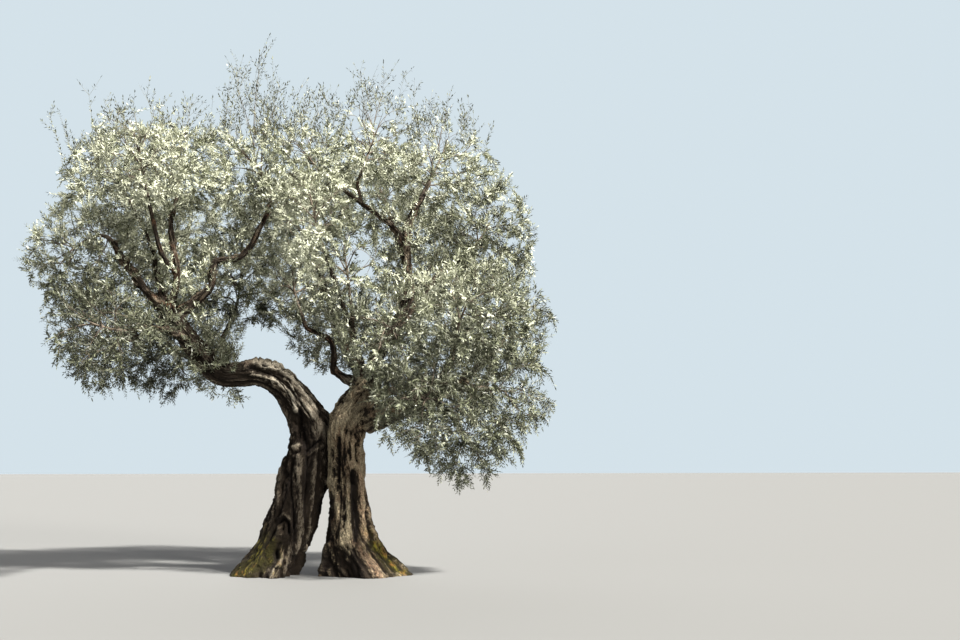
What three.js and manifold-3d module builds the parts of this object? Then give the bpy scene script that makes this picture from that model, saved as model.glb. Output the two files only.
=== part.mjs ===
// An old olive tree on two leaning stems, in millimetres, +Z up, seen from the front along +Y.
// The origin lies on the flat cut under the left stem, at ground level.
import * as THREE from 'three';
import { mergeVertices } from 'three/addons/utils/BufferGeometryUtils.js';
import Module from 'manifold-3d';

const wasm = await Module();
wasm.setup();

// Driving sizes.
const GAP = 0.3; // clear space between neighbouring solids
const SOCKET_GAP = 0.4; // clear space round a bough's root, where it sits in a larger limb
const STEM_SIDES = 18; // corners round a stem
const ARCH_SIDES = 12; // corners round the left stem's arch and rising part
const STEM_STEP = 195; // length of one station of a stem
const BOUGH_SIDES = 6; // corners round a bough
const BOUGH_STEP = 380; // length of one station of a bough
const FLARE_HEIGHT = 300; // height over which the root flare dies away
const FLUTE_DEPTH = 0.07; // depth of the hollows in a stem, as a share of its radius
const TWIG_RADIUS = { root: 12, tip: 7 }; // of the branches in a mass
// A leaf stands for a whole spray: its length and width as shares of its mass's reach.
const LEAF = { length: 0.62, width: 0.31, keel: 16, widest: 0.48 };
const SHOOT_LEAF = { length: 320, width: 96, keel: 12, widest: 0.45 };
const BRANCHES = 8; // branches grown in one mass
const BRANCH_REACH = 0.5; // how far out a branch goes before its end leaf, as a share of its space
const REACH_OVER = 1.1; // how far a leaf may stand out past its mass's reach
const CELL_MARGIN = 8; // least distance of a twig or leaf from the border of its mass's own space
const LIMB_MARGIN = { twig: 25, leaf: 45 }; // least distance of twigs and leaves from a limb
const LEAF_SPACING = 57; // least distance between two leaves of one mass

// The two stems: each row is x, y, z and radius on the stem's middle line.
const leftLine = [
  [-190, 60, -220, 400], [-150, 60, 0, 375], [10, 70, 340, 340], [145, 90, 700, 345],
  [245, 110, 1080, 340], [310, 130, 1400, 335], [375, 150, 1720, 315], [355, 160, 1980, 290],
  [205, 160, 2260, 235], [-26, 150, 2525, 200], [-300, 125, 2660, 180], [-590, 100, 2645, 172],
  [-850, 70, 2665, 165], [-1100, 30, 2930, 155], [-1360, 5, 3245, 148], [-1585, 0, 3500, 138],
];
const rightLine = [
  [1120, -90, -220, 410], [1080, -95, 0, 390], [935, -110, 420, 340], [873, -120, 1040, 268],
  [838, -120, 1500, 236], [848, -120, 1950, 252], [975, -115, 2270, 238],
  [1105, -110, 2490, 180], [1195, -110, 2650, 125],
];
// Where the left stem ends and its arch and rising part begin, as a share of its line's rows.
const ARCH_START = 0.6;
const RISE_START = 0.8;

// Buttress roots: compass bearing in degrees (0 is +X), reach beyond the stem, half width.
const leftRoots = [
  { bearing: 186, reach: 165, spread: 22 }, { bearing: 235, reach: 90, spread: 18 },
  { bearing: 284, reach: 150, spread: 20 }, { bearing: 350, reach: 90, spread: 20 },
  { bearing: 48, reach: 130, spread: 20 }, { bearing: 118, reach: 160, spread: 24 },
];
const rightRoots = [
  { bearing: 352, reach: 330, spread: 19 }, { bearing: 312, reach: 130, spread: 18 },
  { bearing: 272, reach: 200, spread: 20 }, { bearing: 228, reach: 90, spread: 18 },
  { bearing: 190, reach: 215, spread: 20 }, { bearing: 130, reach: 170, spread: 22 },
  { bearing: 65, reach: 200, spread: 22 },
];

// Boughs: the limb each grows from, how far along it, the way it takes, and its radii.
// The last point of a bough is where it enters its mass of foliage.
const boughTable = {
  bough_right_high: { from: 'stem_right', at: 0.93, radii: [92, 48],
    way: [[1290, -150, 2960], [1480, -200, 3200], [1650, -240, 3700], [1612, -250, 4290],
      [1640, -230, 4700], [1820, -160, 5080]] },
  bough_right_low: { from: 'stem_right', at: 0.72, radii: [232, 72],
    way: [[1230, -160, 2090], [1530, -230, 2200], [1795, -310, 2330], [2201, -450, 2490],
      [2420, -560, 2470]] },
  bough_left_outer: { from: 'left_rise', at: 0.97, radii: [78, 40],
    way: [[-1860, -40, 3780], [-2080, -70, 4080], [-2270, -110, 4370]] },
  bough_left_middle: { from: 'left_rise', at: 0.9, radii: [48, 30],
    way: [[-1425, -100, 3946], [-1480, -110, 4300], [-1523, -110, 4620], [-1480, -120, 4850]] },
  bough_left_inner: { from: 'left_rise', at: 0.84, radii: [74, 28],
    way: [[-1190, -30, 3600], [-985, -50, 3810], [-930, -50, 4150], [-570, 0, 4260],
      [-290, 90, 4800], [-235, 120, 4990]] },
  bough_left_upper: { from: 'left_rise', at: 0.985, radii: [38, 22],
    way: [[-1700, 70, 3950], [-1760, 110, 4280], [-1990, 190, 4780]] },
  bough_left_back: { from: 'left_rise', at: 0.93, radii: [70, 36],
    way: [[-1650, 420, 3800], [-1780, 800, 4150], [-1850, 1120, 4360]] },
  bough_left_front: { from: 'bough_left_middle', at: 0.25, radii: [34, 22],
    way: [[-1600, -480, 4200], [-1700, -800, 4620], [-1740, -950, 4830]] },
  bough_left_low: { from: 'left_rise', at: 0.62, radii: [62, 32],
    way: [[-1700, 190, 3250], [-2010, 340, 3130]] },
  bough_left_low_front: { from: 'left_rise', at: 0.5, radii: [52, 28],
    way: [[-1560, -420, 3200], [-1900, -760, 3130]] },
  bough_arch_back: { from: 'left_arch', at: 0.62, radii: [78, 38],
    way: [[-900, 480, 2830], [-1290, 850, 2930]] },
  bough_inner_back: { from: 'bough_arch_back', at: 0.35, radii: [48, 28],
    way: [[-850, 560, 3130], [-730, 780, 3490]] },
  bough_centre_up: { from: 'stem_right', at: 0.86, radii: [62, 24],
    way: [[690, -190, 2680], [662, -170, 2897], [592, -130, 3120], [310, -60, 3270],
      [240, 60, 3440]] },
  bough_centre_front: { from: 'stem_right', at: 0.9, radii: [52, 26],
    way: [[930, -420, 3000], [860, -610, 3480]] },
  bough_upper_front: { from: 'bough_centre_front', at: 0.5, radii: [34, 22],
    way: [[680, -640, 3720], [480, -850, 4220]] },
  bough_centre_back: { from: 'stem_right', at: 0.88, radii: [86, 38],
    way: [[850, 380, 3050], [640, 820, 3720], [430, 1120, 4380]] },
  bough_low_centre_back: { from: 'bough_centre_back', at: 0.3, radii: [48, 30],
    way: [[780, 800, 3150], [740, 1080, 3250]] },
  bough_high_left: { from: 'bough_right_high', at: 0.72, radii: [42, 24],
    way: [[1430, -230, 4660], [1259, -200, 4806], [980, -150, 5010], [690, -100, 5240]] },
  bough_high_middle: { from: 'bough_high_left', at: 0.72, radii: [26, 20],
    way: [[950, -110, 5270], [1010, -90, 5460]] },
  bough_high_back: { from: 'bough_right_high', at: 0.62, radii: [52, 28],
    way: [[1560, 350, 4550], [1480, 1040, 5130]] },
  bough_right_out: { from: 'bough_right_high', at: 0.36, radii: [60, 32],
    way: [[2050, -110, 4010], [2480, 90, 4360]] },
  bough_right_back: { from: 'stem_right', at: 0.84, radii: [84, 36],
    way: [[1330, 450, 3150], [1760, 1020, 3800], [1990, 1400, 4120]] },
  bough_low_front: { from: 'bough_right_low', at: 0.35, radii: [60, 32],
    way: [[1590, -620, 2330], [1690, -870, 2320]] },
  bough_low_hanging: { from: 'bough_right_low', at: 0.62, radii: [42, 26],
    way: [[2060, -420, 2230], [2190, -480, 2090]] },
  bough_low_rising: { from: 'bough_right_low', at: 0.7, radii: [58, 30],
    way: [[2150, -720, 2790], [2180, -880, 3030]] },
  bough_low_far: { from: 'bough_right_low', at: 0.88, radii: [56, 32],
    way: [[2620, -300, 2800], [2880, -200, 3020]] },
  bough_low_back: { from: 'stem_right', at: 0.74, radii: [84, 38],
    way: [[1330, 360, 2420], [1760, 760, 2560], [2050, 980, 2620]] },
  bough_front: { from: 'bough_right_high', at: 0.14, radii: [42, 26],
    way: [[1390, -440, 3040], [1400, -600, 3140]] },
};

// Masses of foliage: the bough each grows from, its middle, its reach, and the heights of the
// long upright shoots that stand out of its top.
const massTable = {
  foliage_left_outer: { bough: 'bough_left_outer', middle: [-2700, -150, 4170], reach: 690 },
  foliage_left_upper: { bough: 'bough_left_upper', middle: [-2360, 250, 5230], reach: 700,
    shoots: [6270, 6150] },
  foliage_left_middle: { bough: 'bough_left_middle', middle: [-1440, -100, 5380], reach: 680,
    shoots: [6420] },
  foliage_left_inner: { bough: 'bough_left_inner', middle: [-520, 120, 5480], reach: 700,
    shoots: [7200, 6950, 6700] },
  foliage_left_back: { bough: 'bough_left_back', middle: [-1780, 1600, 4800], reach: 760 },
  foliage_left_front: { bough: 'bough_left_front', middle: [-1820, -1420, 5240], reach: 640 },
  foliage_left_low: { bough: 'bough_left_low', middle: [-2380, 480, 3090], reach: 670 },
  foliage_left_low_front: { bough: 'bough_left_low_front', middle: [-2260, -1150, 3110],
    reach: 620 },
  foliage_arch_back: { bough: 'bough_arch_back', middle: [-1600, 1400, 3080], reach: 700 },
  foliage_inner_back: { bough: 'bough_inner_back', middle: [-650, 1050, 4150], reach: 720 },
  foliage_centre: { bough: 'bough_centre_up', middle: [120, 560, 3960], reach: 600 },
  foliage_centre_top: { bough: 'bough_high_left', middle: [300, 20, 5560], reach: 700,
    shoots: [6640, 6480] },
  foliage_centre_back: { bough: 'bough_centre_back', middle: [50, 1600, 5060], reach: 760 },
  foliage_centre_front: { bough: 'bough_centre_front', middle: [760, -850, 4040], reach: 560 },
  foliage_upper_front: { bough: 'bough_upper_front', middle: [330, -1060, 4680], reach: 600 },
  foliage_low_centre_back: { bough: 'bough_low_centre_back', middle: [700, 1750, 3480],
    reach: 680 },
  foliage_top: { bough: 'bough_high_middle', middle: [1180, -40, 5900], reach: 640,
    shoots: [6920, 6750] },
  foliage_right_top: { bough: 'bough_right_high', middle: [2100, 0, 5620], reach: 700,
    shoots: [6700, 6560] },
  foliage_right_outer: { bough: 'bough_right_out', middle: [2780, 220, 4700], reach: 740 },
  foliage_top_back: { bough: 'bough_high_back', middle: [1380, 1600, 5580], reach: 720 },
  foliage_right_back: { bough: 'bough_right_back', middle: [2200, 1650, 4480], reach: 760 },
  foliage_front: { bough: 'bough_front', middle: [1300, -960, 3130], reach: 680 },
  foliage_low_front: { bough: 'bough_low_front', middle: [1740, -1300, 2200], reach: 670 },
  foliage_low_right: { bough: 'bough_right_low', middle: [2800, -780, 2350], reach: 700 },
  foliage_low_hanging: { bough: 'bough_low_hanging', middle: [2340, -480, 1740], reach: 620 },
  foliage_low_rising: { bough: 'bough_low_rising', middle: [2330, -1250, 3480], reach: 700 },
  foliage_right_far: { bough: 'bough_low_far', middle: [3020, -60, 3430], reach: 680 },
  foliage_low_back: { bough: 'bough_low_back', middle: [2470, 1450, 2860], reach: 740 },
};

// The same small generator of numbers from 0 to 1 for every seed.
function seededRandom(seed) {
  let state = seed >>> 0;
  return () => {
    state = (Math.imul(state, 1664525) + 1013904223) >>> 0;
    const mixed = Math.imul(state ^ (state >>> 15), 2246822519) >>> 0;
    return ((mixed ^ (mixed >>> 13)) >>> 0) / 4294967296;
  };
}

const vector = (p) => new THREE.Vector3(p[0], p[1], p[2]);
const mixed = (a, b, t) => a.clone().lerp(b, t);

// A rounded line through rows of numbers (place, and radius if given), t running from 0 to 1.
function lineAt(rows, t) {
  const last = rows.length - 1;
  const place = Math.min(Math.max(t, 0), 1) * last;
  const k = Math.min(Math.floor(place), last - 1);
  const f = place - k;
  const row = (i) => {
    if (i < 0) return rows[0].map((v, j) => 2 * v - rows[1][j]);
    if (i > last) return rows[last].map((v, j) => 2 * v - rows[last - 1][j]);
    return rows[i];
  };
  const [a, b, c, d] = [row(k - 1), row(k), row(k + 1), row(k + 2)];
  return b.map((v, j) => 0.5 * (2 * v + (c[j] - a[j]) * f
    + (2 * a[j] - 5 * v + 4 * c[j] - d[j]) * f * f
    + (3 * v - a[j] - 3 * c[j] + d[j]) * f * f * f));
}

// Stations along a limb, at even steps of its line, with a frame carried along without twist.
// Near the ground the rings of a stem lie level.
function stationsOf(rows, from, to, step, levelNearGround) {
  const at = (t) => lineAt(rows, t);
  let length = 0;
  for (let i = 0; i < 40; i++) {
    const a = vector(at(from + ((to - from) * i) / 40));
    length += a.distanceTo(vector(at(from + ((to - from) * (i + 1)) / 40)));
  }
  const count = Math.max(2, Math.round(length / step));
  const stations = [];
  let side = new THREE.Vector3(1, 0, 0);
  for (let i = 0; i <= count; i++) {
    const t = from + ((to - from) * i) / count;
    const row = at(t);
    const along = vector(at(t + 1e-3)).sub(vector(at(t - 1e-3))).normalize();
    if (levelNearGround) {
      const rise = THREE.MathUtils.smoothstep(row[2], 0, 900);
      along.lerp(new THREE.Vector3(0, 0, 1), 1 - rise).normalize();
    }
    side.addScaledVector(along, -side.dot(along)).normalize();
    stations.push({ t, middle: vector(row), radius: row[3], along,
      side: side.clone(), up: along.clone().cross(side) });
  }
  return stations;
}

// A closed skin through rings of points, with flat ends.
function skinOf(rings) {
  const sides = rings[0].length;
  const position = [];
  for (const ring of rings) for (const p of ring) position.push(p.x, p.y, p.z);
  const index = [];
  for (let k = 0; k + 1 < rings.length; k++) {
    for (let i = 0; i < sides; i++) {
      const a = k * sides + i;
      const b = k * sides + ((i + 1) % sides);
      index.push(a, b, b + sides, a, b + sides, a + sides);
    }
  }
  const last = (rings.length - 1) * sides;
  for (let i = 1; i + 1 < sides; i++) {
    index.push(0, i + 1, i, last, last + i, last + i + 1);
  }
  const geometry = new THREE.BufferGeometry();
  geometry.setAttribute('position', new THREE.Float32BufferAttribute(position, 3));
  geometry.setIndex(index);
  return geometry;
}

// A geometry as a solid that can be joined and cut.
function solidOf(geometry) {
  const clean = geometry.clone();
  clean.deleteAttribute('normal');
  clean.deleteAttribute('uv');
  const merged = mergeVertices(clean, 1e-4);
  return new wasm.Manifold(new wasm.Mesh({
    numProp: 3,
    vertProperties: new Float32Array(merged.attributes.position.array),
    triVerts: new Uint32Array(merged.index.array),
  }));
}

// The largest body of a solid, without sealed hollows or loose scraps.
function largestBody(solid) {
  return solid.decompose().sort((a, b) => b.volume() - a.volume())[0];
}

// The outline of a stem: buttress roots near the ground, shallow flutes above.
function stemRadius(station, angle, roots, phase, extra) {
  const { radius, middle } = station;
  const height = Math.max(middle.z, 0);
  const flute = Math.cos(2 * angle + phase + height * 0.0006)
    + 0.7 * Math.cos(3 * angle - phase * 1.7 + height * 0.0009);
  let out = radius * (1 + FLUTE_DEPTH * 0.6 * flute);
  for (const root of roots) {
    const bearing = THREE.MathUtils.degToRad(root.bearing);
    const off = Math.atan2(Math.sin(angle - bearing), Math.cos(angle - bearing));
    const width = THREE.MathUtils.degToRad(root.spread);
    out += root.reach * Math.exp(-((off / width) ** 2) - (height / FLARE_HEIGHT) ** 1.5);
  }
  return out + extra;
}

// One part of a stem between two shares of its line, ends moved in by half a gap where it is split.
function stemPart(rows, from, to, roots, phase, extra, endsMovedIn) {
  const sides = from > 0 ? ARCH_SIDES : STEM_SIDES;
  const stations = stationsOf(rows, from, to, STEM_STEP, true);
  const last = stations.length - 1;
  const rings = stations.map((station, k) => {
    let shift = 0;
    if (k === 0) shift = endsMovedIn[0] ? GAP / 2 : -extra;
    if (k === last) shift = endsMovedIn[1] ? -GAP / 2 : extra;
    const middle = station.middle.clone().addScaledVector(station.along, shift);
    const ring = [];
    for (let i = 0; i < sides; i++) {
      const angle = (2 * Math.PI * i) / sides;
      const reach = stemRadius(station, angle, roots, phase, extra);
      ring.push(middle.clone().addScaledVector(station.side, reach * Math.cos(angle))
        .addScaledVector(station.up, reach * Math.sin(angle)));
    }
    return ring;
  });
  return solidOf(skinOf(rings));
}

// A large block whose underside is the ground.
function aboveGround() {
  const block = new THREE.BoxGeometry(8000, 8000, 8000);
  block.translate(0, 0, 4000);
  return solidOf(block);
}

// A straight-sided tapering tube along a limb's stations.
function tubeSolid(stations, sides, extra) {
  const last = stations.length - 1;
  const rings = stations.map((station, k) => {
    const shift = k === 0 ? -extra : k === last ? extra : 0;
    const middle = station.middle.clone().addScaledVector(station.along, shift);
    const ring = [];
    for (let i = 0; i < sides; i++) {
      const angle = (2 * Math.PI * (i + 0.5)) / sides;
      const reach = station.radius + extra;
      ring.push(middle.clone().addScaledVector(station.side, reach * Math.cos(angle))
        .addScaledVector(station.up, reach * Math.sin(angle)));
    }
    return ring;
  });
  return solidOf(skinOf(rings));
}

// The rows of every limb's middle line by name, boughs starting inside the limb they grow from.
function limbLines() {
  const part = (rows, from, to) => {
    const cut = [];
    for (let i = 0; i <= 12; i++) cut.push(lineAt(rows, from + ((to - from) * i) / 12));
    return cut;
  };
  const lines = {
    stem_left: part(leftLine, 0, ARCH_START),
    left_arch: part(leftLine, ARCH_START, RISE_START),
    left_rise: part(leftLine, RISE_START, 1),
    stem_right: rightLine,
  };
  for (const [name, bough] of Object.entries(boughTable)) {
    const points = [lineAt(lines[bough.from], bough.at).slice(0, 3), ...bough.way];
    const last = points.length - 1;
    lines[name] = points.map((p, i) => {
      const taper = (i / last) ** 0.8;
      return [...p, bough.radii[0] + (bough.radii[1] - bough.radii[0]) * taper];
    });
  }
  return lines;
}

const lines = limbLines();

// Balls strung along every limb, for keeping twigs and leaves clear of it.
const limbBalls = Object.entries(lines).flatMap(([name, rows]) => {
  const balls = [];
  for (const s of stationsOf(rows, 0, 1, 60, false)) {
    const flare = name.startsWith('stem') ? 1.12 : 1;
    balls.push({ name, middle: s.middle, radius: s.radius * flare });
  }
  return balls;
});

const masses = Object.entries(massTable).map(([name, mass], number) => ({
  name, ...mass, number, middle: vector(mass.middle),
}));

// How far a point lies inside a mass's own space, whose borders are planes between the masses.
function insideCell(mass, point) {
  const power = (m) => point.distanceToSquared(m.middle) - m.reach ** 2;
  const own = power(mass);
  let least = Infinity;
  for (const other of masses) {
    if (other === mass) continue;
    const span = 2 * other.middle.distanceTo(mass.middle);
    least = Math.min(least, (power(other) - own) / span);
  }
  return least;
}

// Whether every point keeps its distance from every limb.
function clearOfLimbs(points, margin) {
  return limbBalls.every((ball) => points.every(
    (p) => p.distanceTo(ball.middle) > ball.radius + margin));
}

// Points along a line that bends from a to c past b.
function bezierPoints(a, b, c, count) {
  const points = [];
  for (let i = 0; i <= count; i++) {
    const t = i / count;
    points.push(mixed(mixed(a, b, t), mixed(b, c, t), t));
  }
  return points;
}

// Directions spread evenly over a ball.
function evenDirection(k, count, turn) {
  const z = 1 - (2 * k + 1) / count;
  const angle = k * 2.399963 + turn;
  const flat = Math.sqrt(1 - z * z);
  return new THREE.Vector3(flat * Math.cos(angle), flat * Math.sin(angle), z);
}

// Points over a leaf: its ends, its sides and the face between them.
function leafSamples(leaf) {
  const samples = [];
  for (let i = 0; i <= 6; i++) {
    const f = i / 6;
    const half = f < leaf.widest ? f / leaf.widest : (1 - f) / (1 - leaf.widest);
    for (const s of [-1, 0, 1]) {
      samples.push(leaf.root.clone().addScaledVector(leaf.along, leaf.length * f)
        .addScaledVector(leaf.across, (s * half * leaf.width) / 2));
    }
  }
  return samples;
}

// The stem a mass grows on, running from its bough's tip past the middle of the mass.
function massStem(mass) {
  const rows = lines[mass.bough];
  const tip = vector(rows[rows.length - 1]);
  const heading = tip.clone().sub(vector(lineAt(rows, 1 - 1e-3))).normalize();
  const start = tip.clone().addScaledVector(heading, GAP);
  const span = start.distanceTo(mass.middle);
  const end = mixed(start, mass.middle, 1.25);
  end.z += mass.reach * 0.12;
  const bend = start.clone().addScaledVector(heading, span * 0.55);
  return { start, heading, bend, end, radius: rows[rows.length - 1][3] };
}

// How far a line from a point runs before it leaves its mass's own space or reach.
function roomAlong(mass, from, direction, most) {
  let room = most;
  for (; room > 80; room -= 30) {
    const end = from.clone().addScaledVector(direction, room);
    const near = end.distanceTo(mass.middle) < mass.reach * REACH_OVER;
    if (near && insideCell(mass, end) > CELL_MARGIN + 4) break;
  }
  return room;
}

// A small random offset.
const wobble = (random, size) => new THREE.Vector3(
  random() - 0.5, random() - 0.5, random() - 0.5).multiplyScalar(size);

// The branches of a mass: each leaves the stem short of its target and bends over to it.
function massBranches(mass, stem, random) {
  const turn = random() * 6.283;
  const branches = [];
  const axis = stem.end.clone().sub(stem.start);
  for (let k = 0; k < BRANCHES; k++) {
    const direction = evenDirection(k, BRANCHES, turn).add(wobble(random, 0.35)).normalize();
    const room = roomAlong(mass, mass.middle, direction, mass.reach * REACH_OVER);
    const target = mass.middle.clone().addScaledVector(direction, room * BRANCH_REACH);
    const share = target.clone().sub(stem.start).dot(axis) / axis.lengthSq();
    const along = Math.min(Math.max(share * 0.7, 0.1), 0.92);
    const root = stemPoint(stem, along);
    const lift = new THREE.Vector3(0, 0, 0.5 + 0.5 * random()).add(wobble(random, 0.8));
    const bend = mixed(root, target, 0.5).addScaledVector(lift, root.distanceTo(target) * 0.2);
    const points = bezierPoints(root, bend, target, 6);
    const inside = points.every((p) => insideCell(mass, p) > CELL_MARGIN + TWIG_RADIUS.root);
    if (inside && clearOfLimbs(points.slice(2), LIMB_MARGIN.twig)) {
      branches.push({ root, bend, target, direction });
    }
  }
  return branches;
}

// A point at a share of a mass's stem.
function stemPoint(stem, t) {
  return mixed(mixed(stem.start, stem.bend, t), mixed(stem.bend, stem.end, t), t);
}

// Upright shoots that stand out of the top of a mass.
function topShoots(mass, stem, random) {
  return (mass.shoots || []).map((top, k) => {
    const lean = k % 2 ? -1 : 1;
    const root = stemPoint(stem, 0.8);
    const target = new THREE.Vector3(
      mass.middle.x + lean * (90 + 110 * k) + 60 * random(),
      mass.middle.y + (random() - 0.5) * 160, top - SHOOT_LEAF.length);
    const bend = mixed(root, target, 0.45);
    bend.x -= lean * 90;
    return { root, bend, target, direction: new THREE.Vector3(lean * 0.15, 0, 1).normalize() };
  });
}

// A leaf from a point, facing out of its mass as far as its own direction lets it.
function leafFrom(root, along, length, width, form, mass, random) {
  const facing = root.clone().sub(mass.middle).normalize().add(wobble(random, 0.9));
  facing.addScaledVector(along, -facing.dot(along)).normalize();
  return { ...form, root, along, facing, across: along.clone().cross(facing), length, width };
}

// The leaf at the end of a branch, or none where there is no room for it.
function endLeaf(branch, mass, leaves, random) {
  for (let i = 0; i < 4; i++) {
    const along = branch.direction.clone().add(wobble(random, 0.3)).normalize();
    const most = mass.reach * LEAF.length * (1.15 - 0.12 * i);
    const room = roomAlong(mass, branch.target, along, most);
    const width = room * (LEAF.width / LEAF.length);
    const leaf = leafFrom(branch.target, along, room, width, LEAF, mass, random);
    if (leafFits(leaf, mass, leaves)) return leaf;
  }
  return null;
}

// A leaf part of the way along a branch, turned to one side of it.
function sideLeaf(branch, share, turn, mass, leaves, random) {
  const root = bezierPoints(branch.root, branch.bend, branch.target, 20)[Math.round(share * 20)];
  const out = root.clone().sub(mass.middle).normalize();
  for (let i = 0; i < 4; i++) {
    const spin = new THREE.Quaternion().setFromAxisAngle(branch.direction, turn + 1.1 * i);
    const sideways = new THREE.Vector3(0.2, 0.35, 0.9).cross(branch.direction).normalize()
      .applyQuaternion(spin);
    const along = branch.direction.clone().multiplyScalar(0.5).addScaledVector(out, 0.35)
      .addScaledVector(sideways, 0.85).add(wobble(random, 0.3)).normalize();
    const room = roomAlong(mass, root, along, mass.reach * LEAF.length * (1.05 - 0.15 * i));
    if (room < mass.reach * 0.24) continue;
    const width = room * (LEAF.width / LEAF.length);
    const leaf = leafFrom(root, along, room, width, LEAF, mass, random);
    if (leafFits(leaf, mass, leaves)) return leaf;
  }
  return null;
}

// Whether a leaf stays in its mass's own space, within its reach, and clear of leaves and limbs.
function leafFits(leaf, mass, leaves) {
  const samples = leafSamples(leaf);
  const reach = mass.reach * (REACH_OVER + 0.04);
  if (samples.some((p) => p.distanceTo(mass.middle) > reach)) return false;
  if (samples.some((p) => insideCell(mass, p) < CELL_MARGIN + leaf.keel)) return false;
  const outer = samples.slice(3);
  const meets = (points) => outer.some((p) => points.some((q) => p.distanceTo(q) < LEAF_SPACING));
  if (leaves.some((other) => meets(other.samples))) return false;
  if (mass.twigs.some((twig) => meets(twig))) return false;
  leaf.samples = samples;
  return clearOfLimbs(samples, LIMB_MARGIN.leaf);
}

// The three corners round a leaf where it is widest: its two edges and its keel.
function leafGirth(leaf) {
  const wide = leaf.root.clone().addScaledVector(leaf.along, leaf.length * leaf.widest);
  return [
    wide.clone().addScaledVector(leaf.across, leaf.width / 2),
    wide.clone().addScaledVector(leaf.facing, leaf.keel),
    wide.clone().addScaledVector(leaf.across, -leaf.width / 2),
  ];
}

const leafTip = (leaf) => leaf.root.clone().addScaledVector(leaf.along, leaf.length);

// A closed skin through rings of three corners, ending in a point; its root is a point as well
// where only one corner is given.
function pointedSolid(root, rings, tip) {
  const corners = root.length === 1 ? [root[0]] : [...root];
  const index = [];
  let before = root.length === 1 ? [0, 0, 0] : [0, 1, 2];
  if (root.length === 3) index.push(0, 2, 1);
  for (const ring of rings) {
    const now = ring.map((p) => corners.push(p) - 1);
    for (let i = 0; i < 3; i++) {
      const j = (i + 1) % 3;
      if (before[0] !== before[1]) index.push(before[i], before[j], now[j]);
      index.push(before[i], now[j], now[i]);
    }
    before = now;
  }
  const end = corners.push(tip) - 1;
  for (let i = 0; i < 3; i++) index.push(before[i], before[(i + 1) % 3], end);
  const geometry = new THREE.BufferGeometry();
  geometry.setAttribute('position', new THREE.Float32BufferAttribute(
    corners.flatMap((p) => [p.x, p.y, p.z]), 3));
  geometry.setIndex(index);
  const solid = solidOf(geometry);
  if (solid.volume() > 0) return solid;
  geometry.setIndex(index.slice().reverse());
  return solidOf(geometry);
}

// A leaf as a closed blade of six faces, flat behind and keeled in front.
const leafSolid = (leaf) => pointedSolid([leaf.root], [leafGirth(leaf)], leafTip(leaf));

// Corners of a three-sided twig round a point, turned so they run on into its end leaf.
function twigRing(middle, along, radius, leaf) {
  const across = leaf ? leaf.across.clone() : new THREE.Vector3(0.3, 0.8, 0.5);
  across.addScaledVector(along, -across.dot(along)).normalize();
  const facing = across.clone().cross(along);
  return [120, 0, -120].map((degrees) => {
    const angle = THREE.MathUtils.degToRad(degrees);
    return middle.clone().addScaledVector(across, Math.sin(angle) * radius)
      .addScaledVector(facing, Math.cos(angle) * radius);
  });
}

// A three-sided twig on a bent line, running out into its end leaf where it has one.
function twigSolid(twig, leaf, count) {
  const points = bezierPoints(twig.root, twig.bend, twig.target, count);
  const rings = points.map((middle, i) => {
    const along = points[Math.min(i + 1, count)].clone().sub(points[Math.max(i - 1, 0)]).normalize();
    const radius = TWIG_RADIUS.root + ((TWIG_RADIUS.tip - TWIG_RADIUS.root) * i) / count;
    return twigRing(middle, along, radius, leaf);
  });
  if (leaf) return pointedSolid(rings[0], [...rings.slice(1), leafGirth(leaf)], leafTip(leaf));
  const tip = points[count].clone().addScaledVector(twig.direction, 30);
  return pointedSolid(rings[0], rings.slice(1), tip);
}

// The stem of a mass as a four-sided tube that starts flat against its bough's tip.
function massStemSolid(stem) {
  const count = 3;
  const points = bezierPoints(stem.start, stem.bend, stem.end, count);
  const side = new THREE.Vector3(0.3, 0.8, 0.5);
  const stations = points.map((middle, i) => {
    const along = i === 0 ? stem.heading.clone()
      : points[Math.min(i + 1, count)].clone().sub(points[i - 1]).normalize();
    side.addScaledVector(along, -side.dot(along)).normalize();
    const radius = stem.radius * 0.85 * (1 - i / count) + TWIG_RADIUS.root * (i / count);
    return { middle, along, side: side.clone(), up: along.clone().cross(side), radius };
  });
  return tubeSolid(stations, 4, 0);
}

// One mass of foliage: stem, branches, shoots and leaves joined into one solid.
function massSolid(mass) {
  const random = seededRandom(7919 * (mass.number + 1));
  const stem = massStem(mass);
  const branches = massBranches(mass, stem, random);
  const shoots = topShoots(mass, stem, random);
  const leaves = [];
  const pieces = [];
  mass.twigs = [...branches, ...shoots].map(
    (b) => bezierPoints(b.root, b.bend, b.target, 6).slice(0, 6));
  mass.twigs.push(bezierPoints(stem.start, stem.bend, stem.end, 6));
  for (const branch of branches) {
    const leaf = endLeaf(branch, mass, leaves, random);
    if (leaf) leaves.push(leaf);
    const bends = branch.root.distanceTo(branch.target) > 0.5 * mass.reach;
    pieces.push(twigSolid(branch, leaf, bends ? 2 : 1));
  }
  for (const shoot of shoots) {
    const leaf = leafFrom(shoot.target, shoot.direction, SHOOT_LEAF.length, SHOOT_LEAF.width,
      SHOOT_LEAF, mass, random);
    leaves.push({ ...leaf, samples: leafSamples(leaf) });
    pieces.push(twigSolid(shoot, leaf, 3));
  }
  for (const [share, start] of [[0.85, 0], [0.6, 3]]) {
    branches.forEach((branch, k) => {
      const leaf = sideLeaf(branch, share, start + 2.4 * k, mass, leaves, random);
      if (!leaf) return;
      leaves.push(leaf);
      pieces.push(leafSolid(leaf));
    });
  }
  let solid = massStemSolid(stem);
  for (const piece of pieces) solid = solid.add(piece);
  return largestBody(solid);
}

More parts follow.
